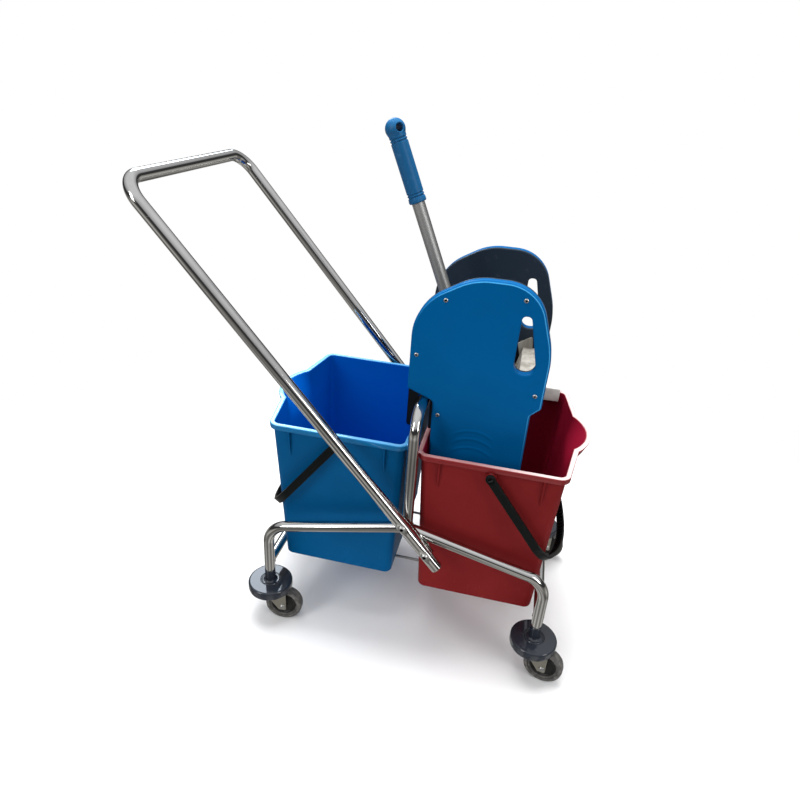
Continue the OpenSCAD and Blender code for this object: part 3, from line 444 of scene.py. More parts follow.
# Push handle: one long chromed tube bent to a U, bolted with two bolts a side to small plates on the frame.
# The tube has a shallow pressed seat under each bolt head.
handle_y, handle_r, handle_bend = 0.216, 0.012, 0.045
handle_reach, handle_tail, bolt_pitch, bolt_flat = 0.769, 0.038, 0.073, 0.003
slope = math.radians(49)
up_handle = np.array([-math.cos(slope), 0, math.sin(slope)])
upper_bolt = np.array([mid_x - 0.003, 0, 0.334])
lower_bolt = upper_bolt - bolt_pitch * up_handle
handle_top = upper_bolt + handle_reach * up_handle
handle_foot = lower_bolt - handle_tail * up_handle
across = np.array([0, handle_y, 0])
u_path = bent_path([handle_foot - across, handle_top - across, handle_top + across, handle_foot + across],
                   [handle_bend, handle_bend], 0.004)
u_square = np.cross(up_handle, [0, 1.0, 0])
u_grid = pipe(u_path, handle_r, u_square)
outwards = np.sign(u_grid[..., 1])
seat_y, seat_r, seat_edge = handle_y + handle_r - bolt_flat, 0.0095, 0.0014
for bolt in (upper_bolt, lower_bolt):
    away = u_grid - bolt
    away[..., 1] = 0
    far = np.linalg.norm(away, axis=-1)
    dip = 0.5 - 0.5 * np.tanh((far - seat_r) / seat_edge)
    level_y = outwards * np.minimum(np.abs(u_grid[..., 1]), seat_y)
    u_grid[..., 1] = u_grid[..., 1] * (1 - dip) + level_y * dip
handle = skin("push_handle_tube", u_grid, frame_chrome, close=False)
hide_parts("push_handle")
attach(handle, "chassis")


def paint(node, finish):
    """Gives a finish to a CAD node that stays in view."""
    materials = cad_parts[node].data.materials
    materials.clear()
    materials.append(finish.material)


for word in ("near_handle_plate", "far_handle_plate"):
    paint(word, frame_chrome)


# Handle bolts and nuts: zinc-plated button-head bolts with painted shade, near black, in each socket well, and
# plain hexagon nuts behind. The nuts stay as the CAD has them, in the same plating.
zinc = Finish("zinc_plate", Metallic=1.0)
# Socket wells, on these bolts and on the cover screws, are painted near black: painted shade in the recess.
well = zinc.inner()
plating = zinc.noise(0.006).mix((0.66, 0.66, 0.64), (0.45, 0.45, 0.45))
zinc.set(Base_Color=well.mix(plating, (0.012, 0.012, 0.012)),
         Roughness=0.26 + 0.22 * zinc.noise(0.004) + 0.4 * well)
zinc.bump(zinc.noise(0.0012), 0.00005)


def revolve(profile, centre, axis, count=64):
    """A profile of (radius, height) points turned about an axis through centre."""
    axis = unit(axis)
    first = unit(np.cross(axis, [0, 0, 1] if abs(axis[2]) < 0.9 else [1, 0, 0]))
    second = np.cross(axis, first)
    turn = np.linspace(0, 2 * math.pi, count, endpoint=False)
    ring = np.outer(np.cos(turn), first) + np.outer(np.sin(turn), second)
    centre, profile = np.asarray(centre, float), np.asarray(profile, float)
    return centre + profile[:, :1, None] * ring[None] + profile[:, 1:, None] * axis[None, None]


def eased(corners, count=5):
    """A profile whose corners (a, b, radius) are rounded by arcs that touch both sides. A point close to each
    end of a straight side keeps the side flat in smooth shading."""
    spots = np.array([c[:2] for c in corners], float)
    points = [spots[:1]]
    for k in range(1, len(corners) - 1):
        rounded = len(corners[k]) > 2
        points.append(fillet(*spots[k - 1:k + 2], corners[k][2], count) if rounded else spots[k:k + 1])
    points = np.concatenate(points + [spots[-1:]])
    held, shortest, hold = [], 0.0015, 0.0004
    for p, q in zip(points[:-1], points[1:]):
        length = np.linalg.norm(q - p)
        held += [p] if length < shortest else [p, p + (q - p) * hold / length, q - (q - p) * hold / length]
    return np.array(held + [points[-1]])


def socket_head(radius, height, socket_r, depth):
    """Half section of a button head: domed top, a well in its middle."""
    return eased([(0, height - depth), (socket_r * 0.9, height - depth), (socket_r, height, 0.0002),
                  (radius * 0.62, height, height * 0.5), (radius, height * 0.35, height * 0.3),
                  (radius, 0), (0, 0)], 6)


def well_share(profile, socket_r, heads):
    """1 on the points of a list of heads that lie in the wells, up to their edges, and 0 on the rest."""
    in_well = np.arange(len(profile)) < np.argmax(profile[:, 0] > socket_r * 0.97)
    return np.concatenate([np.repeat(in_well.astype(float), head.shape[1]) for head in heads])


bolt_r, bolt_head_r, bolt_head_h, bolt_socket_r = 0.004, 0.0075, 0.0045, 0.0036
bolt_head = socket_head(bolt_head_r, bolt_head_h, bolt_socket_r, 0.0028)
heads = [revolve(bolt_head, bolt + np.array([0, s * seat_y, 0]), [0, s, 0], 36)
         for bolt in (upper_bolt, lower_bolt) for s in (-1, 1)]
shanks = [revolve([(0, 0), (bolt_r, 0), (bolt_r, length), (0, length)], bolt + np.array([0, s * seat_y, 0]),
                  [0, -s, 0], 20)
          for bolt, length in ((upper_bolt, 0.053), (lower_bolt, 0.031)) for s in (-1, 1)]
wells = np.concatenate([well_share(bolt_head, bolt_socket_r, heads),
                        np.zeros(sum(g[..., 0].size for g in shanks))])
bolts = skin("handle_button_bolts", heads + shanks, zinc, close=False, inner=wells)
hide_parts("handle_bolts")
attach(bolts, "chassis")
paint("handle_nuts", zinc)


# Castors: dark plastic bumper discs under the legs, plain stems, pressed and zinc-plated forks and riveted
# axles. Each wheel is a black moulded hub with a grey-brown rubber tyre.
slate = Finish("bumper_slate", Specular_IOR_Level=0.6)
slate_scuff = slate.noise(0.012, 6.0, 0.65).step(0.58, 0.72)
slate.set(Base_Color=slate_scuff.mix((0.018, 0.022, 0.031), (0.032, 0.037, 0.047)),
          Roughness=0.05 + 0.05 * slate.noise(0.02) + slate_scuff * 0.06)
slate.bump(slate.noise(0.004, 3.0), 0.00002)
fork_zinc = Finish("fork_zinc", Metallic=1.0)
fork_zinc.set(Base_Color=fork_zinc.noise(0.012, 4).mix((0.62, 0.60, 0.52), (0.44, 0.425, 0.37)),
              Roughness=0.3 + 0.25 * fork_zinc.noise(0.005))
fork_zinc.bump(fork_zinc.noise(0.0018), 0.00008)
rubber = Finish("grey_rubber")
dust = rubber.noise(0.009, 6.0, 0.65).step(0.42, 0.66)
rubber.set(Base_Color=dust.mix((0.068, 0.064, 0.060), (0.142, 0.135, 0.124)), Roughness=0.62 + 0.22 * dust)
rubber.bump(rubber.noise(0.0014, 3.0), 0.00012)
hub_black = Finish("hub_black")
hub_dust = hub_black.noise(0.012, 5.0).step(0.5, 0.75)
hub_black.set(Base_Color=hub_dust.mix((0.003, 0.003, 0.003), (0.018, 0.017, 0.015)),
              Roughness=0.42 + 0.25 * hub_dust)
hub_black.bump(hub_black.noise(0.0016), 0.00008)

wheel_r, rim_r, trail = 0.040, 0.0270, 0.030
turns = [6, -12, -10, 0]
disc = eased([(0.006, 0.0933), (0.041, 0.0933, 0.002), (0.043, 0.0895, 0.002), (0.043, 0.082, 0.0005),
              (0.0462, 0.082, 0.0014), (0.047, 0.0865, 0.004), (0.047, 0.1008, 0.0042),
              (0.0216, 0.1014, 0.0008), (0.0208, 0.1004, 0.0004), (0.0200, 0.1004, 0.0004),
              (0.0190, 0.1022, 0.0010), (0.0150, 0.1016, 0.0030), (0.0112, 0.1040, 0.0020),
              (0.0110, 0.1302, 0.0005), (0.0104, 0.131, 0.0003), (0.0095, 0.131)], 7)


def mirrored(half):
    """Corners of a profile, then the same corners in reverse on the other side of height 0."""
    return half + [(r, -h, *bend) for r, h, *bend in half[::-1]]


tyre_half = [(rim_r, -0.0072), (0.0305, -0.0082, 0.0012), (0.0318, -0.0119, 0.0010), (0.0352, -0.0120, 0.002),
             (0.0388, -0.0100, 0.003), (wheel_r, -0.0050, 0.006)]
tyre_section = eased(mirrored(tyre_half), 5)
hub_half = [(0.00405, -0.0142), (0.0078, -0.0142, 0.0008), (0.0092, -0.0066, 0.0016), (0.0225, -0.0058, 0.002),
            (0.0245, -0.0080, 0.0012), (rim_r, -0.0084, 0.0006)]
hub_section = eased(mirrored(hub_half), 4)
crown_section = eased([(0.0051, 0.0870), (0.017, 0.0870, 0.002), (0.023, 0.0858, 0.0012),
                       (0.023, 0.0830, 0.001), (0.0051, 0.0830), (0.0051, 0.0870)], 5)
rivet = eased(mirrored([(0, -0.0205), (0.0035, -0.0203, 0.0015), (0.0060, -0.0185, 0.001), (0.0063, -0.017),
                        (0.004, -0.017)]), 4)
cheek_y, cheek_t = 0.01575, 0.0025


def rounded_outline(corners, count=10):
    """A closed outline of (x, z, radius) corners, each rounded by an arc that touches both of its sides."""
    spots = np.array([c[:2] for c in corners], float)
    around = zip(np.roll(spots, 1, 0), spots, np.roll(spots, -1, 0), corners)
    return np.concatenate([fillet(*near, corner[2], count) for *near, corner in around])


def plate(name, outline, holes, low, high, ease, material, origin, along, square, ease_low=None, bevel=0.0):
    """A flat plate with rounded edges: rings of its outline step in by ease - ease cos a as they rise by
    ease sin a, holes do the same outwards, and flat faces fill both sides. The lower edge may have a radius of
    its own. A bevel slopes the upper outer edge instead, and its crest has attribute inner 1."""
    along, square = np.asarray(along, float), np.asarray(square, float)
    upward = np.array([0, 0, 1.0]) if abs(square[2]) < 0.5 else np.cross(square, along)
    points, faces, crest, base = [], [], [], 0
    rims = [[], []]
    under = ease if ease_low is None else ease_low
    turn = np.linspace(0, math.pi / 2, 6)
    for which, loop in enumerate([outline] + holes):
        ahead = unit(np.roll(loop, -1, 0) - np.roll(loop, 1, 0))
        inward = np.stack([-ahead[:, 1], ahead[:, 0]], -1)
        area = np.sum(loop[:, 0] * np.roll(loop[:, 1], -1) - loop[:, 1] * np.roll(loop[:, 0], -1))
        inward *= np.sign(area) * (1 if which == 0 else -1)
        rings = [(under * (1 - math.sin(a)), low + under * (1 - math.cos(a)), 0) for a in turn]
        if bevel and which == 0:
            shoulder = high - 0.8 * bevel
            rings += [(0, shoulder - 0.0008, 0), (0.0003, shoulder, 0), (bevel - 0.0014, high - 0.0010, 0),
                      (bevel - 0.0008, high - 0.0005, 1), (bevel, high - 0.0001, 1),
                      (bevel + 0.0008, high, 0)]
        else:
            rings += [(ease * (1 - math.cos(a)), high - ease * (1 - math.sin(a)), 0) for a in turn]
        n = len(loop)
        for step_in, height, on_crest in rings:
            flat = loop + inward * step_in
            points.append(np.asarray(origin) + flat[:, :1] * along + flat[:, 1:] * upward + height * square)
            crest.append(np.full(n, float(on_crest)))
        faces += quads(base, len(rings), n)
        rims[0].append((base, loop + inward * rings[0][0]))
        rims[1].append((base + (len(rings) - 1) * n, loop + inward * rings[-1][0]))
        base += n * len(rings)
    caps = []
    for rim in rims:
        index = np.concatenate([start + np.arange(len(loop)) for start, loop in rim])
        for tri in tessellate_polygon([[(x, z, 0) for x, z in loop] for _, loop in rim]):
            caps.append([int(index[t]) for t in tri])
    piece = mesh_piece(name, np.concatenate(points), faces + caps, material, np.concatenate(crest))
    piece.data.polygons.foreach_set("use_smooth", [len(face.vertices) != 3 for face in piece.data.polygons])
    return piece


def joined(name, pieces):
    """Several meshes with one material made into one object."""
    mesh = bpy.data.meshes.new(name)
    work = bmesh.new()
    for piece in pieces:
        work.from_mesh(piece.data)
    work.to_mesh(mesh)
    work.free()
    mesh.materials.append(pieces[0].data.materials[0])
    whole = bpy.data.objects.new(name, mesh)
    bpy.context.scene.collection.objects.link(whole)
    for piece in pieces:
        bpy.data.objects.remove(piece)
    return whole


cheek = rounded_outline([(-0.014, 0.0868, 0.002), (-0.014, 0.0785, 0.005), (trail - 0.0080, 0.0305, 0.004),
                         (trail + 0.0074, 0.0305, 0.004), (trail + 0.0074, 0.0772, 0.006),
                         (trail + 0.0026, 0.0868, 0.002)], 8)
for k in range(4):
    leg = np.array([mid_x + (rear_leg if k % 2 == 0 else front_leg), -rail_y if k < 2 else rail_y, 0])
    a = math.radians(turns[k])
    ahead, square = np.array([math.cos(a), math.sin(a), 0]), np.array([-math.sin(a), math.cos(a), 0])
    hub_at = leg + ahead * trail + np.array([0, 0, wheel_r])
    number = str(k + 1)
    cap = skin("bumper_disc_" + number, revolve(disc, leg, [0, 0, 1], 96), slate, close=True)
    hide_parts("bumper_" + number)
    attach(cap, "chassis")
    cheeks = [plate("cheek", cheek, [], s * cheek_y - cheek_t / 2, s * cheek_y + cheek_t / 2, 0.0008,
                    fork_zinc, leg, ahead, square) for s in (-1, 1)]
    crown = skin("crown", revolve(crown_section, leg, [0, 0, 1], 48), fork_zinc, close=False)
    fork = joined("castor_yoke_" + number, cheeks + [crown])
    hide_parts("castor_fork_" + number)
    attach(fork, "castor_" + number)
    axle = skin("wheel_rivet_" + number, revolve(rivet, hub_at, square, 32), zinc, close=False)
    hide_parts("wheel_axle_" + number)
    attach(axle, "castor_" + number)
    hub = skin("wheel_centre_" + number, revolve(hub_section, hub_at, square, 72), hub_black, wrap_rows=True)
    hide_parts("wheel_hub_" + number)
    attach(hub, "wheel_" + number)
    tyre = skin("wheel_tyre_" + number, revolve(tyre_section, hub_at, square, 96), rubber, wrap_rows=True)
    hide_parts("tyre_" + number)
    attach(tyre, "wheel_" + number)
    paint("castor_stem_" + number, zinc)


# Buckets: two moulded plastic tubs of one shape, set end to end with their pouring spouts outwards.
# The wall tapers to the floor, the rim is turned over in a wide lip, and thin gussets stiffen it underneath.
bucket_l, bucket_w, bucket_h = 0.279, 0.368, 0.338
bucket_z, floor_t, clear = 0.1433, 0.004, 0.0003
taper_x, taper_y, lip, wall_t, rim_h, corner_r = 0.015, 0.022, 0.007, 0.003, 0.012, 0.022
end_bow, spout_w, spout_reach, spout_h = 0.015, 0.138, 0.026, 0.062


def bucket_outline(z, grow):
    """Outlines at heights z, grown by grow: straight sides, rounded corners, an outer end whose middle stands
    out by a share of the height squared, and a spout on it that stands out by reach times (1 - t squared) to
    the power 0.88."""
    z, grow = z[:, None], grow[:, None]
    a = bucket_l / 2 - lip - taper_x * (1 - z / bucket_h) + grow
    b = bucket_w / 2 - lip - taper_y * (1 - z / bucket_h) + grow
    r = np.maximum(corner_r - lip + grow, 0.002)
    half = spout_w / 2 + grow * 0.7
    reach = spout_reach * np.clip((z - bucket_h + spout_h) / spout_h, 0, None) ** 1.6
    arc = np.linspace(0, math.pi / 2, 12)[None, :]
    t = np.sin(np.linspace(-math.pi / 2, math.pi / 2, 65))[None, :]
    bow = end_bow * (z / bucket_h) ** 2
    flank = np.linspace(0, 1, 14)[None, 1:-1]
    parts = [(-a + r - r * np.cos(arc), -b + r - r * np.sin(arc)),
             (-a + r + (2 * a - 2 * r) * flank, -b + 0 * flank),
             (a - r + r * np.sin(arc), -b + r - r * np.cos(arc)),
             (a + bow + reach * (1 - t * t) ** 0.88, half * t),
             (a - r + r * np.cos(arc), b - r + r * np.sin(arc)),
             (a - r - (2 * a - 2 * r) * flank, b + 0 * flank),
             (-a + r - r * np.sin(arc), b - r + r * np.cos(arc)),
             (-a + 0 * flank, b - r - (2 * b - 2 * r) * flank)]
    return np.concatenate([x for x, _ in parts], 1), np.concatenate([y for _, y in parts], 1)


def bucket_grid():
    """Rows from the middle of the underside, up the outside, over the rim and down the inside to the middle of
    the floor, and the share by which each of their points is inside."""
    bend = np.linspace(0, math.pi / 2, 7)
    h, spout_foot = bucket_h, bucket_h - spout_h
    climb = [np.linspace(0.02, spout_foot, 12), np.linspace(spout_foot, h - rim_h - 0.002, 14)[1:]]
    descent = [np.linspace(h - 0.004, spout_foot, 14), np.linspace(spout_foot, 0.02, 12)[1:]]
    foot_r, under_r, top_r, mouth_r, well_r = 0.006, 0.0012, 0.003, 0.0022, 0.008
    rows = [(0, -foot_r, k) for k in (0.0, 0.35, 0.7, 0.93)]
    rows += [(foot_r - foot_r * math.cos(t), -foot_r + foot_r * math.sin(t), 1) for t in bend]
    rows += [(z, 0, 1) for z in np.concatenate(climb)]
    rows += [(h - rim_h, 0.0015, 1), (h - rim_h, lip - under_r, 1)]
    rows += [(h - rim_h + under_r - under_r * math.cos(t), lip - under_r + under_r * math.sin(t), 1)
             for t in bend]
    rows += [(h - top_r + top_r * math.sin(t), lip - top_r + top_r * math.cos(t), 1) for t in bend]
    rows += [(h, 0.0015, 1)]
    first_inner = len(rows)
    rows += [(h - mouth_r + mouth_r * math.cos(t), mouth_r - wall_t - mouth_r * math.sin(t), 1) for t in bend]
    rows += [(z, -wall_t, 1) for z in np.concatenate(descent)]
    rows += [(floor_t + well_r - well_r * math.sin(t), -wall_t - well_r + well_r * math.cos(t), 1)
             for t in bend]
    rows += [(floor_t, -wall_t - well_r, k) for k in (0.93, 0.7, 0.35, 0.0)]
    z, grow, share = (np.array([r[c] for r in rows]) for c in range(3))
    x, y = bucket_outline(z, grow)
    within = np.clip((np.arange(len(rows)) - first_inner) / 5, 0, 1)
    points = np.stack([x * share[:, None], y * share[:, None], z[:, None] + 0 * x], -1)
    return points, np.repeat(within, x.shape[1])


def gusset(x, side):
    """A thin wedge under the lip: deep at the top, running out down the wall."""
    s = np.linspace(0, 1, 12)[:, None]
    top, low = bucket_h - rim_h + 0.001, bucket_h - rim_h - 0.058
    z = top + (low - top) * s
    wall = bucket_w / 2 - lip - taper_y * (1 - z / bucket_h)
    deep = 0.0058 * (1 - s ** 3) + 0.0002
    edge = np.array([[-1.0, -0.25], [-1.0, 0.90], [-0.7, 1.0], [0.7, 1.0], [1.0, 0.90], [1.0, -0.25]])
    aside, out = edge[None, :, 0], edge[None, :, 1]
    return np.stack([x + 0.0016 * aside + 0 * z, side * (wall + deep * out), z + 0 * aside], -1)


def moulded(name, body, deep, painted_bounce, edge, crown, scuffed):
    """Satin moulded plastic: faint flow clouds, pale scuffs towards the rim and the foot, fine moulded grain,
    a painted bounce-light colour inside, where light goes from wall to wall, and a polished rim, painted
    lighter as a highlight, with a pale painted highlight on top that grows towards the ends."""
    plastic = Finish(name, Specular_IOR_Level=0.03, Coat_Roughness=0.08)
    x, _, z = plastic.xyz((mid_x, 0, bucket_z))
    inner = plastic.inner()
    cloud = plastic.noise(0.11, 3.0).step(0.3, 0.7)
    drag = plastic.noise(0.012, 6.0, 0.7, (0.25, 0.25, 3.0))
    foot = 1 - z.step(0.0, 0.16)
    # Outside and on top, the rim band takes a lighter colour: a painted highlight.
    rim = z.step(bucket_h - rim_h - 0.002, bucket_h - rim_h + 0.004) * (1 - inner)
    scuff = drag.step(0.60, 0.70) * (0.12 + 0.4 * foot + 0.2 * rim) * (1 - inner)
    # On upward rim faces, more towards the bucket ends, a pale colour is mixed in: a painted highlight.
    rim_top_highlight = rim * plastic.upward().step(0.55, 0.95) * (0.3 + 0.7 * x.math("ABSOLUTE", x).step(0.10, 0.24))
    # Inside the tub the walls get a brighter, deeper colour: painted bounce light from wall to wall.
    walls = inner.mix(cloud.mix(body, deep), painted_bounce)
    rim_with_painted_light = rim_top_highlight.mix(rim.mix(walls, edge), crown)
    plastic.set(Base_Color=scuff.mix(rim_with_painted_light, scuffed),
                Roughness=0.36 + 0.10 * plastic.noise(0.03) + 0.22 * scuff, Coat_Weight=rim)
    plastic.bump(plastic.noise(0.0011, 2.0) * 0.5 + plastic.noise(0.05, 2.0) * 0.5, 0.00014)
    return plastic


# In both calls the inside colour is painted bounce light, and the rim colours are painted highlight.
blue_plastic = moulded("blue_bucket_plastic", body=(0.0, 0.086, 0.236), deep=(0.0, 0.078, 0.216),
                       painted_bounce=(0.0, 0.088, 0.44), edge=(0.006, 0.15, 0.36), crown=(0.20, 0.52, 0.80),
                       scuffed=(0.02, 0.14, 0.30))
red_plastic = moulded("red_bucket_plastic", body=(0.188, 0.0135, 0.0145), deep=(0.170, 0.0115, 0.0125),
                      painted_bounce=(0.21, 0.006, 0.022), edge=(0.20, 0.014, 0.016), crown=(0.72, 0.55, 0.54),
                      scuffed=(0.26, 0.05, 0.048))
pivot_drop, arm_y = 0.022, bucket_w / 2 + 0.0015
blue_at = np.array([mid_x - 0.013 - bucket_l / 2, 0.009, bucket_z])
red_at = np.array([mid_x + 0.0055 + bucket_l / 2, -0.007, bucket_z])
boss_z = bucket_h - pivot_drop
boss_foot = bucket_w / 2 - lip - taper_y * pivot_drop / bucket_h - 0.0015
boss_l = arm_y - clear - boss_foot
boss = eased([(0, 0), (0.0105, 0), (0.0091, boss_l - 0.0010, 0.001), (0.0084, boss_l, 0.0006),
              (0, boss_l)], 5)
for word, at, flip, plastic in (("blue", blue_at, -1, blue_plastic), ("red", red_at, 1, red_plastic)):
    body, inner = bucket_grid()
    grids = [body] + [gusset(x, s) for x in (-0.095, 0.095) for s in (-1, 1)]
    grids += [revolve(boss, [0, s * boss_foot, boss_z], [0, s, 0], 40) for s in (-1, 1)]
    inner = np.concatenate([inner, np.zeros(sum(g[..., 0].size for g in grids[1:]))])
    grids = [g * np.array([flip, 1, 1]) + at for g in grids]
    tub = skin(word + "_tub", grids, plastic, close=False, inner=inner)
    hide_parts(word + "_bucket")
    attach(tub, "chassis")


# Bails: black moulded carrying straps, a channel in section with cross ribs inside, bent to a wide U.
# Round ends snap over the buckets' bosses, and the strap rests against the outer end of its bucket.
strap_black = Finish("strap_black", Specular_IOR_Level=0.12)
strap_wear = strap_black.noise(0.008, 6.0, 0.65).step(0.56, 0.72)
strap_black.set(Base_Color=strap_wear.mix((0.0045, 0.006, 0.006), (0.014, 0.015, 0.015)),
                Roughness=0.36 + 0.2 * strap_wear)
strap_black.bump(strap_black.noise(0.0013, 3.0), 0.00007)
bail_rest = math.radians(37.3)
arm_drop, strap_drop, corner_bend, end_bend = 0.1951, 0.3110, 0.058, 0.2721
rib_pitch, rib_half = 0.0105, 0.0007
channel = eased([(0.0, -0.0064), (0.0, -0.0080, 0.0006), (-0.007, -0.0080, 0.0020), (-0.007, 0.0080, 0.0020),
                 (0.0, 0.0080, 0.0006), (0.0, 0.0064, 0.0004), (-0.0052, 0.0060, 0.0006),
                 (-0.0052, -0.0060, 0.0006), (0.0, -0.0064, 0.0004)], 5)[:-1]
end_disc = eased([(0, -0.0090), (0.0042, -0.0090, 0.0006), (0.0050, -0.0080), (0.0050, 0.0),
                  (0.0090, 0.0, 0.0006), (0.0090, 0.0070, 0.0018), (0.0048, 0.0070, 0.0006), (0.0042, 0.0048),
                  (0, 0.0048)], 5)


def bail_shape(swing):
    """The strap's channel carried round a U in the plane of the arms, its ribs, and its end discs with their
    pins, all swung out by an angle."""
    cosine, sine = math.cos(swing), math.sin(swing)
    turned = np.array([[cosine, 0, -sine], [0, 1, 0], [sine, 0, cosine]])
    u = bent_path([[0, -arm_y, 0], [0, -arm_y, -arm_drop], [0, 0, -strap_drop], [0, arm_y, -arm_drop],
                   [0, arm_y, 0]], [corner_bend, end_bend, corner_bend], 0.006)
    strap = carry(u, channel, [1.0, 0, 0])
    along = np.concatenate([[0], np.cumsum(np.linalg.norm(np.diff(u, axis=0), axis=1))])
    at = np.arange(0.022, along[-1] - 0.02, rib_pitch)
    spine = np.stack([np.interp(at, along, u[:, k]) for k in range(3)], -1)
    ahead = unit(np.stack([np.interp(at, along, np.gradient(u[:, k])) for k in range(3)], -1))
    inward = unit(np.cross([1.0, 0, 0], ahead))
    box = np.array([[-0.0056, -0.0063], [-0.0056, 0.0063], [-0.0007, 0.0063], [-0.0007, -0.0063]])
    ribs = [np.stack([p + d * t + np.outer(box[:, 0], n) + np.outer(box[:, 1], [1.0, 0, 0])
                      for t in (-rib_half, rib_half)]) for p, d, n in zip(spine, ahead, inward)]
    ends = [revolve(end_disc, [0, s * arm_y, 0], [0, s, 0], 40) for s in (-1, 1)]
    return [g @ turned.T for g in [strap] + ribs + ends]


for word, at, swing in (("blue", blue_at, -bail_rest), ("red", red_at, bail_rest)):
    pivot = at + np.array([0, 0, boss_z])
    strap = skin(word + "_strap", [g + pivot for g in bail_shape(swing)], strap_black)
    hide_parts(word + "_bail")
    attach(strap, word + "_bail")


# Rim clip: an off-white moulded block hooked over the far rim of the red bucket.
# Its one leg runs down the inside of the wall, so that the bail can pass outside.
ivory = Finish("ivory_plastic", Specular_IOR_Level=0.5)
stain = ivory.noise(0.02, 5.0).step(0.45, 0.75)
ivory.set(Base_Color=stain.mix((0.76, 0.75, 0.71), (0.62, 0.60, 0.55)),
          Roughness=0.4 + 0.15 * ivory.noise(0.01))
ivory.bump(ivory.noise(0.0015), 0.0001)
rim_top = bucket_z + bucket_h
clip_l, clip_t, clip_in_t, clip_drop, clip_end = 0.040, 0.014, 0.012, 0.019, 0.042
out_y, in_y = bucket_w / 2 - clear, bucket_w / 2 - lip - wall_t - clear
low_y = in_y - clip_drop * taper_y / bucket_h
hook = rounded_outline([(out_y, 0, 0.0010), (out_y, clip_t, 0.004), (in_y - clip_in_t, clip_t, 0.004),
                        (low_y - clip_in_t, -clip_drop, 0.003), (low_y, -clip_drop, 0.003),
                        (in_y, 0, 0.0005)], 8)
clip_mid = bucket_l / 2 - clip_end
clip = plate("rim_hook", hook, [], clip_mid - clip_l / 2, clip_mid + clip_l / 2, 0.0024, ivory,
             red_at + np.array([0, 0, bucket_h]), (0, 1, 0), (1, 0, 0))
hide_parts("rim_clip")
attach(clip, "chassis")


# Wringer sides: blue moulded covers screwed over black inner shells, one at each side of the press.
# Below, a skirt hangs in the bucket, with shallow arcs moulded in it; the shells hook over the arch.
side_left, side_right, side_top = -0.031, 0.214, 0.800
skirt_left, skirt_right, skirt_z = 0.018, 0.196, 0.402
side_head = [(side_right - 0.001, 0.579, 0.008), (side_right + 0.001, side_top - 0.117, 0.160),
             (side_right - 0.036, side_top, 0.074), (side_left + 0.099, side_top, 0.110),
             (side_left, side_top - 0.058, 0.100)]
skirt_slope = taper_x * (rim_top - skirt_z) / bucket_h
skirt_foot = [(skirt_left + skirt_slope, skirt_z, 0.014), (skirt_right, skirt_z, 0.014),
              (skirt_right, 0.563, 0.008)]
cover_step = [(side_left, 0.581, 0.005), (skirt_left, 0.562, 0.009)]
cover_line = rounded_outline(skirt_foot + side_head + cover_step, 16)
hook_z, slot = rim_top + 0.014, tube_r + clear
shell_line = rounded_outline(skirt_foot + side_head + [
    (side_left, hook_z, 0.006), (-slot, hook_z, 0.002), (-slot, arch_z + slot, slot - 0.0004),
    (slot, arch_z + slot, slot - 0.0004), (slot, hook_z, 0.0015), (skirt_left, hook_z, 0.0015)], 16)
hand_hole = rounded_outline([(0.1525, 0.641, 0.017), (0.1940, 0.641, 0.017), (0.1705, 0.7465, 0.0075),
                             (0.1552, 0.7465, 0.0072)], 14)
cover_y, cover_deep, shell_t = 0.130, 0.016, 0.006

cover_blue = Finish("cover_blue", Specular_IOR_Level=0.03, Coat_Roughness=0.12)
cx, _, cz = cover_blue.xyz((mid_x + 0.100, 0, 0))
arcs = 0
for height in (0.4535, 0.4365, 0.4175):
    ring_r = (cx * cx + (cz - height) * (cz - height)) ** 0.5
    arcs = arcs + (1 - cx.math("ABSOLUTE", ring_r - 0.060).step(0.0, 0.005)) * (cz > height)
arcs = arcs * (1 - cx.math("ABSOLUTE", cx).step(0.028, 0.042))
# The bevel's crest line is painted light blue, more towards the upper right: a painted highlight.
crest = cover_blue.inner() * (cx + (cz - 0.6) * 0.8).step(-0.06, 0.12)
haze = cover_blue.noise(0.09, 3.0).step(0.3, 0.7)
cover_scuff = cover_blue.noise(0.010, 6.0, 0.7, (2.5, 1.0, 0.3)).step(0.63, 0.72) * 0.3
cover_body = cover_scuff.mix(haze.mix((0.0, 0.099, 0.292), (0.0, 0.092, 0.272)), (0.02, 0.16, 0.37))
cover_blue.set(Base_Color=crest.mix(cover_body, (0.06, 0.36, 0.72)),
               Roughness=0.30 + 0.1 * cover_blue.noise(0.03) + 0.2 * cover_scuff,
               Coat_Weight=0.2 * cover_blue.upward().step(0.25, 0.6))
cover_blue.bump(arcs + cover_blue.noise(0.0011, 2.0) * 0.04 + cover_blue.noise(0.05, 2.0) * 0.05, 0.0006)
shell_black = Finish("shell_black", Specular_IOR_Level=0.25, Coat_Roughness=0.12)
_, _, sz = shell_black.xyz()
shell_wear = shell_black.noise(0.015, 6.0, 0.65).step(0.56, 0.74)
shell_face = shell_wear.mix((0.015, 0.026, 0.042), (0.034, 0.047, 0.064))
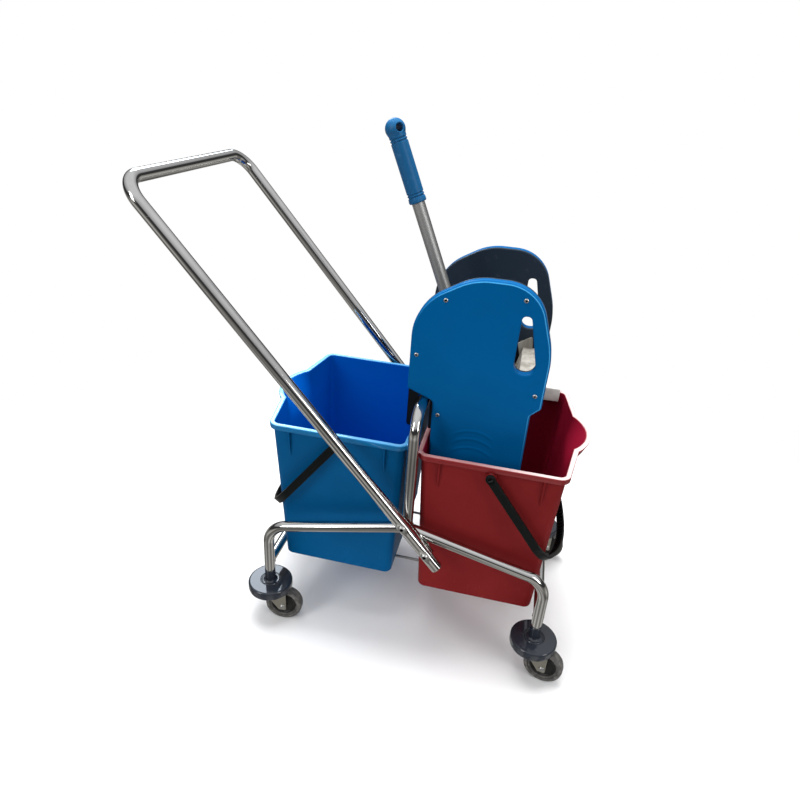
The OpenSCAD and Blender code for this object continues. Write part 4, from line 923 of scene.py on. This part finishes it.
# Below about 0.6 m the shells are painted near black: painted shade on their lower parts and round the hooks.
shell_black.set(Base_Color=sz.step(0.56, 0.64).mix((0.0015, 0.0025, 0.004), shell_face),
                Roughness=0.36 + 0.2 * shell_wear, Coat_Weight=0.3 * shell_black.upward().step(0.25, 0.6))
shell_black.bump(shell_black.noise(0.0013, 3.0), 0.00007)
shell_y = cover_y - cover_deep
for side, word in ((-1, "near"), (1, "far")):
    cover = plate(word + "_blue_cover", cover_line, [hand_hole], shell_y, cover_y, 0.0026, cover_blue,
                  (mid_x, 0, 0), (1, 0, 0), (0, side, 0), ease_low=0.0012, bevel=0.0032)
    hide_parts(word + "_cover")
    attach(cover, "wringer")
    shell = plate(word + "_black_shell", shell_line, [hand_hole], shell_y - shell_t, shell_y, 0.0015,
                  shell_black, (mid_x, 0, 0), (1, 0, 0), (0, side, 0), ease_low=0.0022)
    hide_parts(word + "_shell")
    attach(shell, "wringer")
screw_seats = [(0.024, 0.757), (0.157, 0.774), (-0.019, 0.650), (0.198, 0.604), (0.030, 0.536)]
screw_socket_r = 0.0021
screw_head = socket_head(0.004, 0.0016, screw_socket_r, 0.0013)
screw_heads = [revolve(screw_head, [mid_x + x, s * cover_y, z], [0, s, 0], 24)
               for x, z in screw_seats for s in (-1, 1)]
screws = skin("cover_button_screws", screw_heads, zinc, close=False,
              inner=well_share(screw_head, screw_socket_r, screw_heads))
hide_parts("cover_screws")
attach(screws, "wringer")


# Press: an off-white fixed jaw between the shells, a black jaw that the lever swings, its axle, bushes and
# spring. All but the spring stay as the CAD has them, in the finishes set here.
jaw_ivory = Finish("jaw_ivory", Specular_IOR_Level=0.2)
soaked = jaw_ivory.noise(0.02, 5.0, 0.6, (1, 1, 4)).step(0.35, 0.7)
jaw_ivory.set(Base_Color=soaked.mix((0.38, 0.365, 0.33), (0.22, 0.205, 0.18)), Roughness=0.45 + 0.2 * soaked)
jaw_ivory.bump(jaw_ivory.noise(0.0015), 0.0001)
press_finishes = [("fixed_jaw", jaw_ivory), ("moving_jaw", strap_black), ("lever_socket", strap_black),
                  ("tie_bars", wire_steel), ("axle_bushes", zinc), ("lever_axle", zinc),
                  ("axle_clips", wire_steel)]
for word, finish in press_finishes:
    paint(word, finish)
spring_low, spring_pitch, spring_r, spring_turns, spring_wire_r = 0.0712, 0.0056, 0.0135, 5, 0.0015
axle_at = np.array([mid_x + 0.044, 0, 0.640])
tail = np.array([[0, 0, 0.012]])
t = np.linspace(0, spring_turns, 241)
coil = np.stack([spring_r * np.cos(2 * math.pi * t), spring_low + spring_pitch * t,
                 spring_r * np.sin(2 * math.pi * t)], -1)
coil = axle_at + np.concatenate([coil[:1] - tail, coil, coil[-1:] + tail])
coil_ahead = unit(np.gradient(coil, axis=0))
coil_out = unit(np.cross(coil_ahead, [0, 1, 0]))
coil_side = np.cross(coil_ahead, coil_out)
wire_ring = round_section(spring_wire_r, 12)
spring_grid = (coil[:, None] + wire_ring[None, :, :1] * coil_out[:, None]
               + wire_ring[None, :, 1:] * coil_side[:, None])
spring = skin("lever_spring", spring_grid, wire_steel)
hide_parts("return_spring")
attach(spring, "lever")


# Lever: a drawn aluminium tube in a black socket on the axle, with a blue moulded grip pushed on its end.
# The grip swells to a ball with a hanging hole, and has a pair of ring grooves near each end.
lean = math.radians(22.8)
lever_up = np.array([-math.sin(lean), 0, math.cos(lean)])
lever_l, lever_r, lever_wall = 0.398, 0.012, 0.002
grip_l, grip_r, groove_r, ball_r = 0.128, 0.0155, 0.0142, 0.018
drawn = Finish("drawn_aluminium", Metallic=1.0)
draw_lines = drawn.noise(0.0012, 3.0, 0.6, (1, 1, 60), (0, -lean, 0))
drawn.set(Base_Color=drawn.noise(0.05).mix((0.50, 0.50, 0.49), (0.42, 0.42, 0.41)),
          Roughness=0.42 + 0.18 * draw_lines)
drawn.bump(draw_lines, 0.00005)
tube_path = np.array([axle_at + lever_up * h for h in np.linspace(0.016, lever_l - ball_r - 0.006, 24)])
stick = skin("lever_pipe", pipe(tube_path, lever_r, [0, 1.0, 0], lever_wall), drawn, close=False)
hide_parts("lever_tube")
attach(stick, "lever")

grip_blue = Finish("grip_blue", Specular_IOR_Level=0.25)
grip_worn = grip_blue.noise(0.012, 6.0, 0.65).step(0.55, 0.75)
grip_blue.set(Base_Color=grip_worn.mix((0.006, 0.094, 0.235), (0.028, 0.130, 0.285)),
              Roughness=0.42 + 0.14 * grip_worn)
grip_blue.bump(grip_blue.noise(0.0012, 3.0), 0.00008)


def groove(h):
    """Corners of a ring groove in the grip at height h."""
    return [(grip_r, h - 0.0016, 0.0004), (groove_r, h - 0.0008, 0.0005), (groove_r, h + 0.0008, 0.0005),
            (grip_r, h + 0.0016, 0.0004)]


foot = lever_l - grip_l
neck_drop = math.sqrt(ball_r ** 2 - grip_r ** 2)
neck_h = lever_l - neck_drop
ball_turn = np.linspace(math.asin(-neck_drop / ball_r) + 0.12, math.pi / 2, 20)
grip_line = [(0.0122, foot), (0.0150, foot, 0.0006), (0.0162, foot + 0.002, 0.0014),
             (0.0160, foot + 0.006, 0.001)]
grip_line += groove(foot + 0.011) + groove(foot + 0.016) + groove(neck_h - 0.012) + groove(neck_h - 0.007)
grip_line += [(grip_r, neck_h - 0.001, 0.002)]
ball = np.stack([ball_r * np.cos(ball_turn), lever_l + ball_r * np.sin(ball_turn)], -1)
grip_profile = np.concatenate([eased(grip_line, 4), ball])
grip = skin("lever_handgrip", revolve(grip_profile, axle_at, lever_up, 72), grip_blue, close=False)
hole_turn = math.radians(45)
across_lever = np.array([math.cos(lean), 0, math.sin(lean)])
hole_axis = -math.cos(hole_turn) * np.array([0, 1.0, 0]) + math.sin(hole_turn) * across_lever
eased_hole = eased(mirrored([(0, -0.03), (0.0095, -0.03), (0.0095, -0.0172), (0.0070, -0.0150, 0.0012)]), 5)
cutter = skin("hole_cutter", revolve(eased_hole, axle_at + lever_up * lever_l, hole_axis, 48), grip_blue,
              close=False)
cut = grip.modifiers.new("hanging_hole", "BOOLEAN")
cut.object, cut.operation, cut.solver = cutter, "DIFFERENCE", "EXACT"
bpy.context.view_layer.update()
cut_mesh = bpy.data.meshes.new_from_object(grip.evaluated_get(bpy.context.evaluated_depsgraph_get()))
grip.modifiers.clear()
grip.data = cut_mesh
bpy.data.objects.remove(cutter)
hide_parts("lever_grip")
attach(grip, "lever")


visual_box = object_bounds()
{"cad": [list(corner) for corner in cad_box], "visual": [list(corner) for corner in visual_box]}
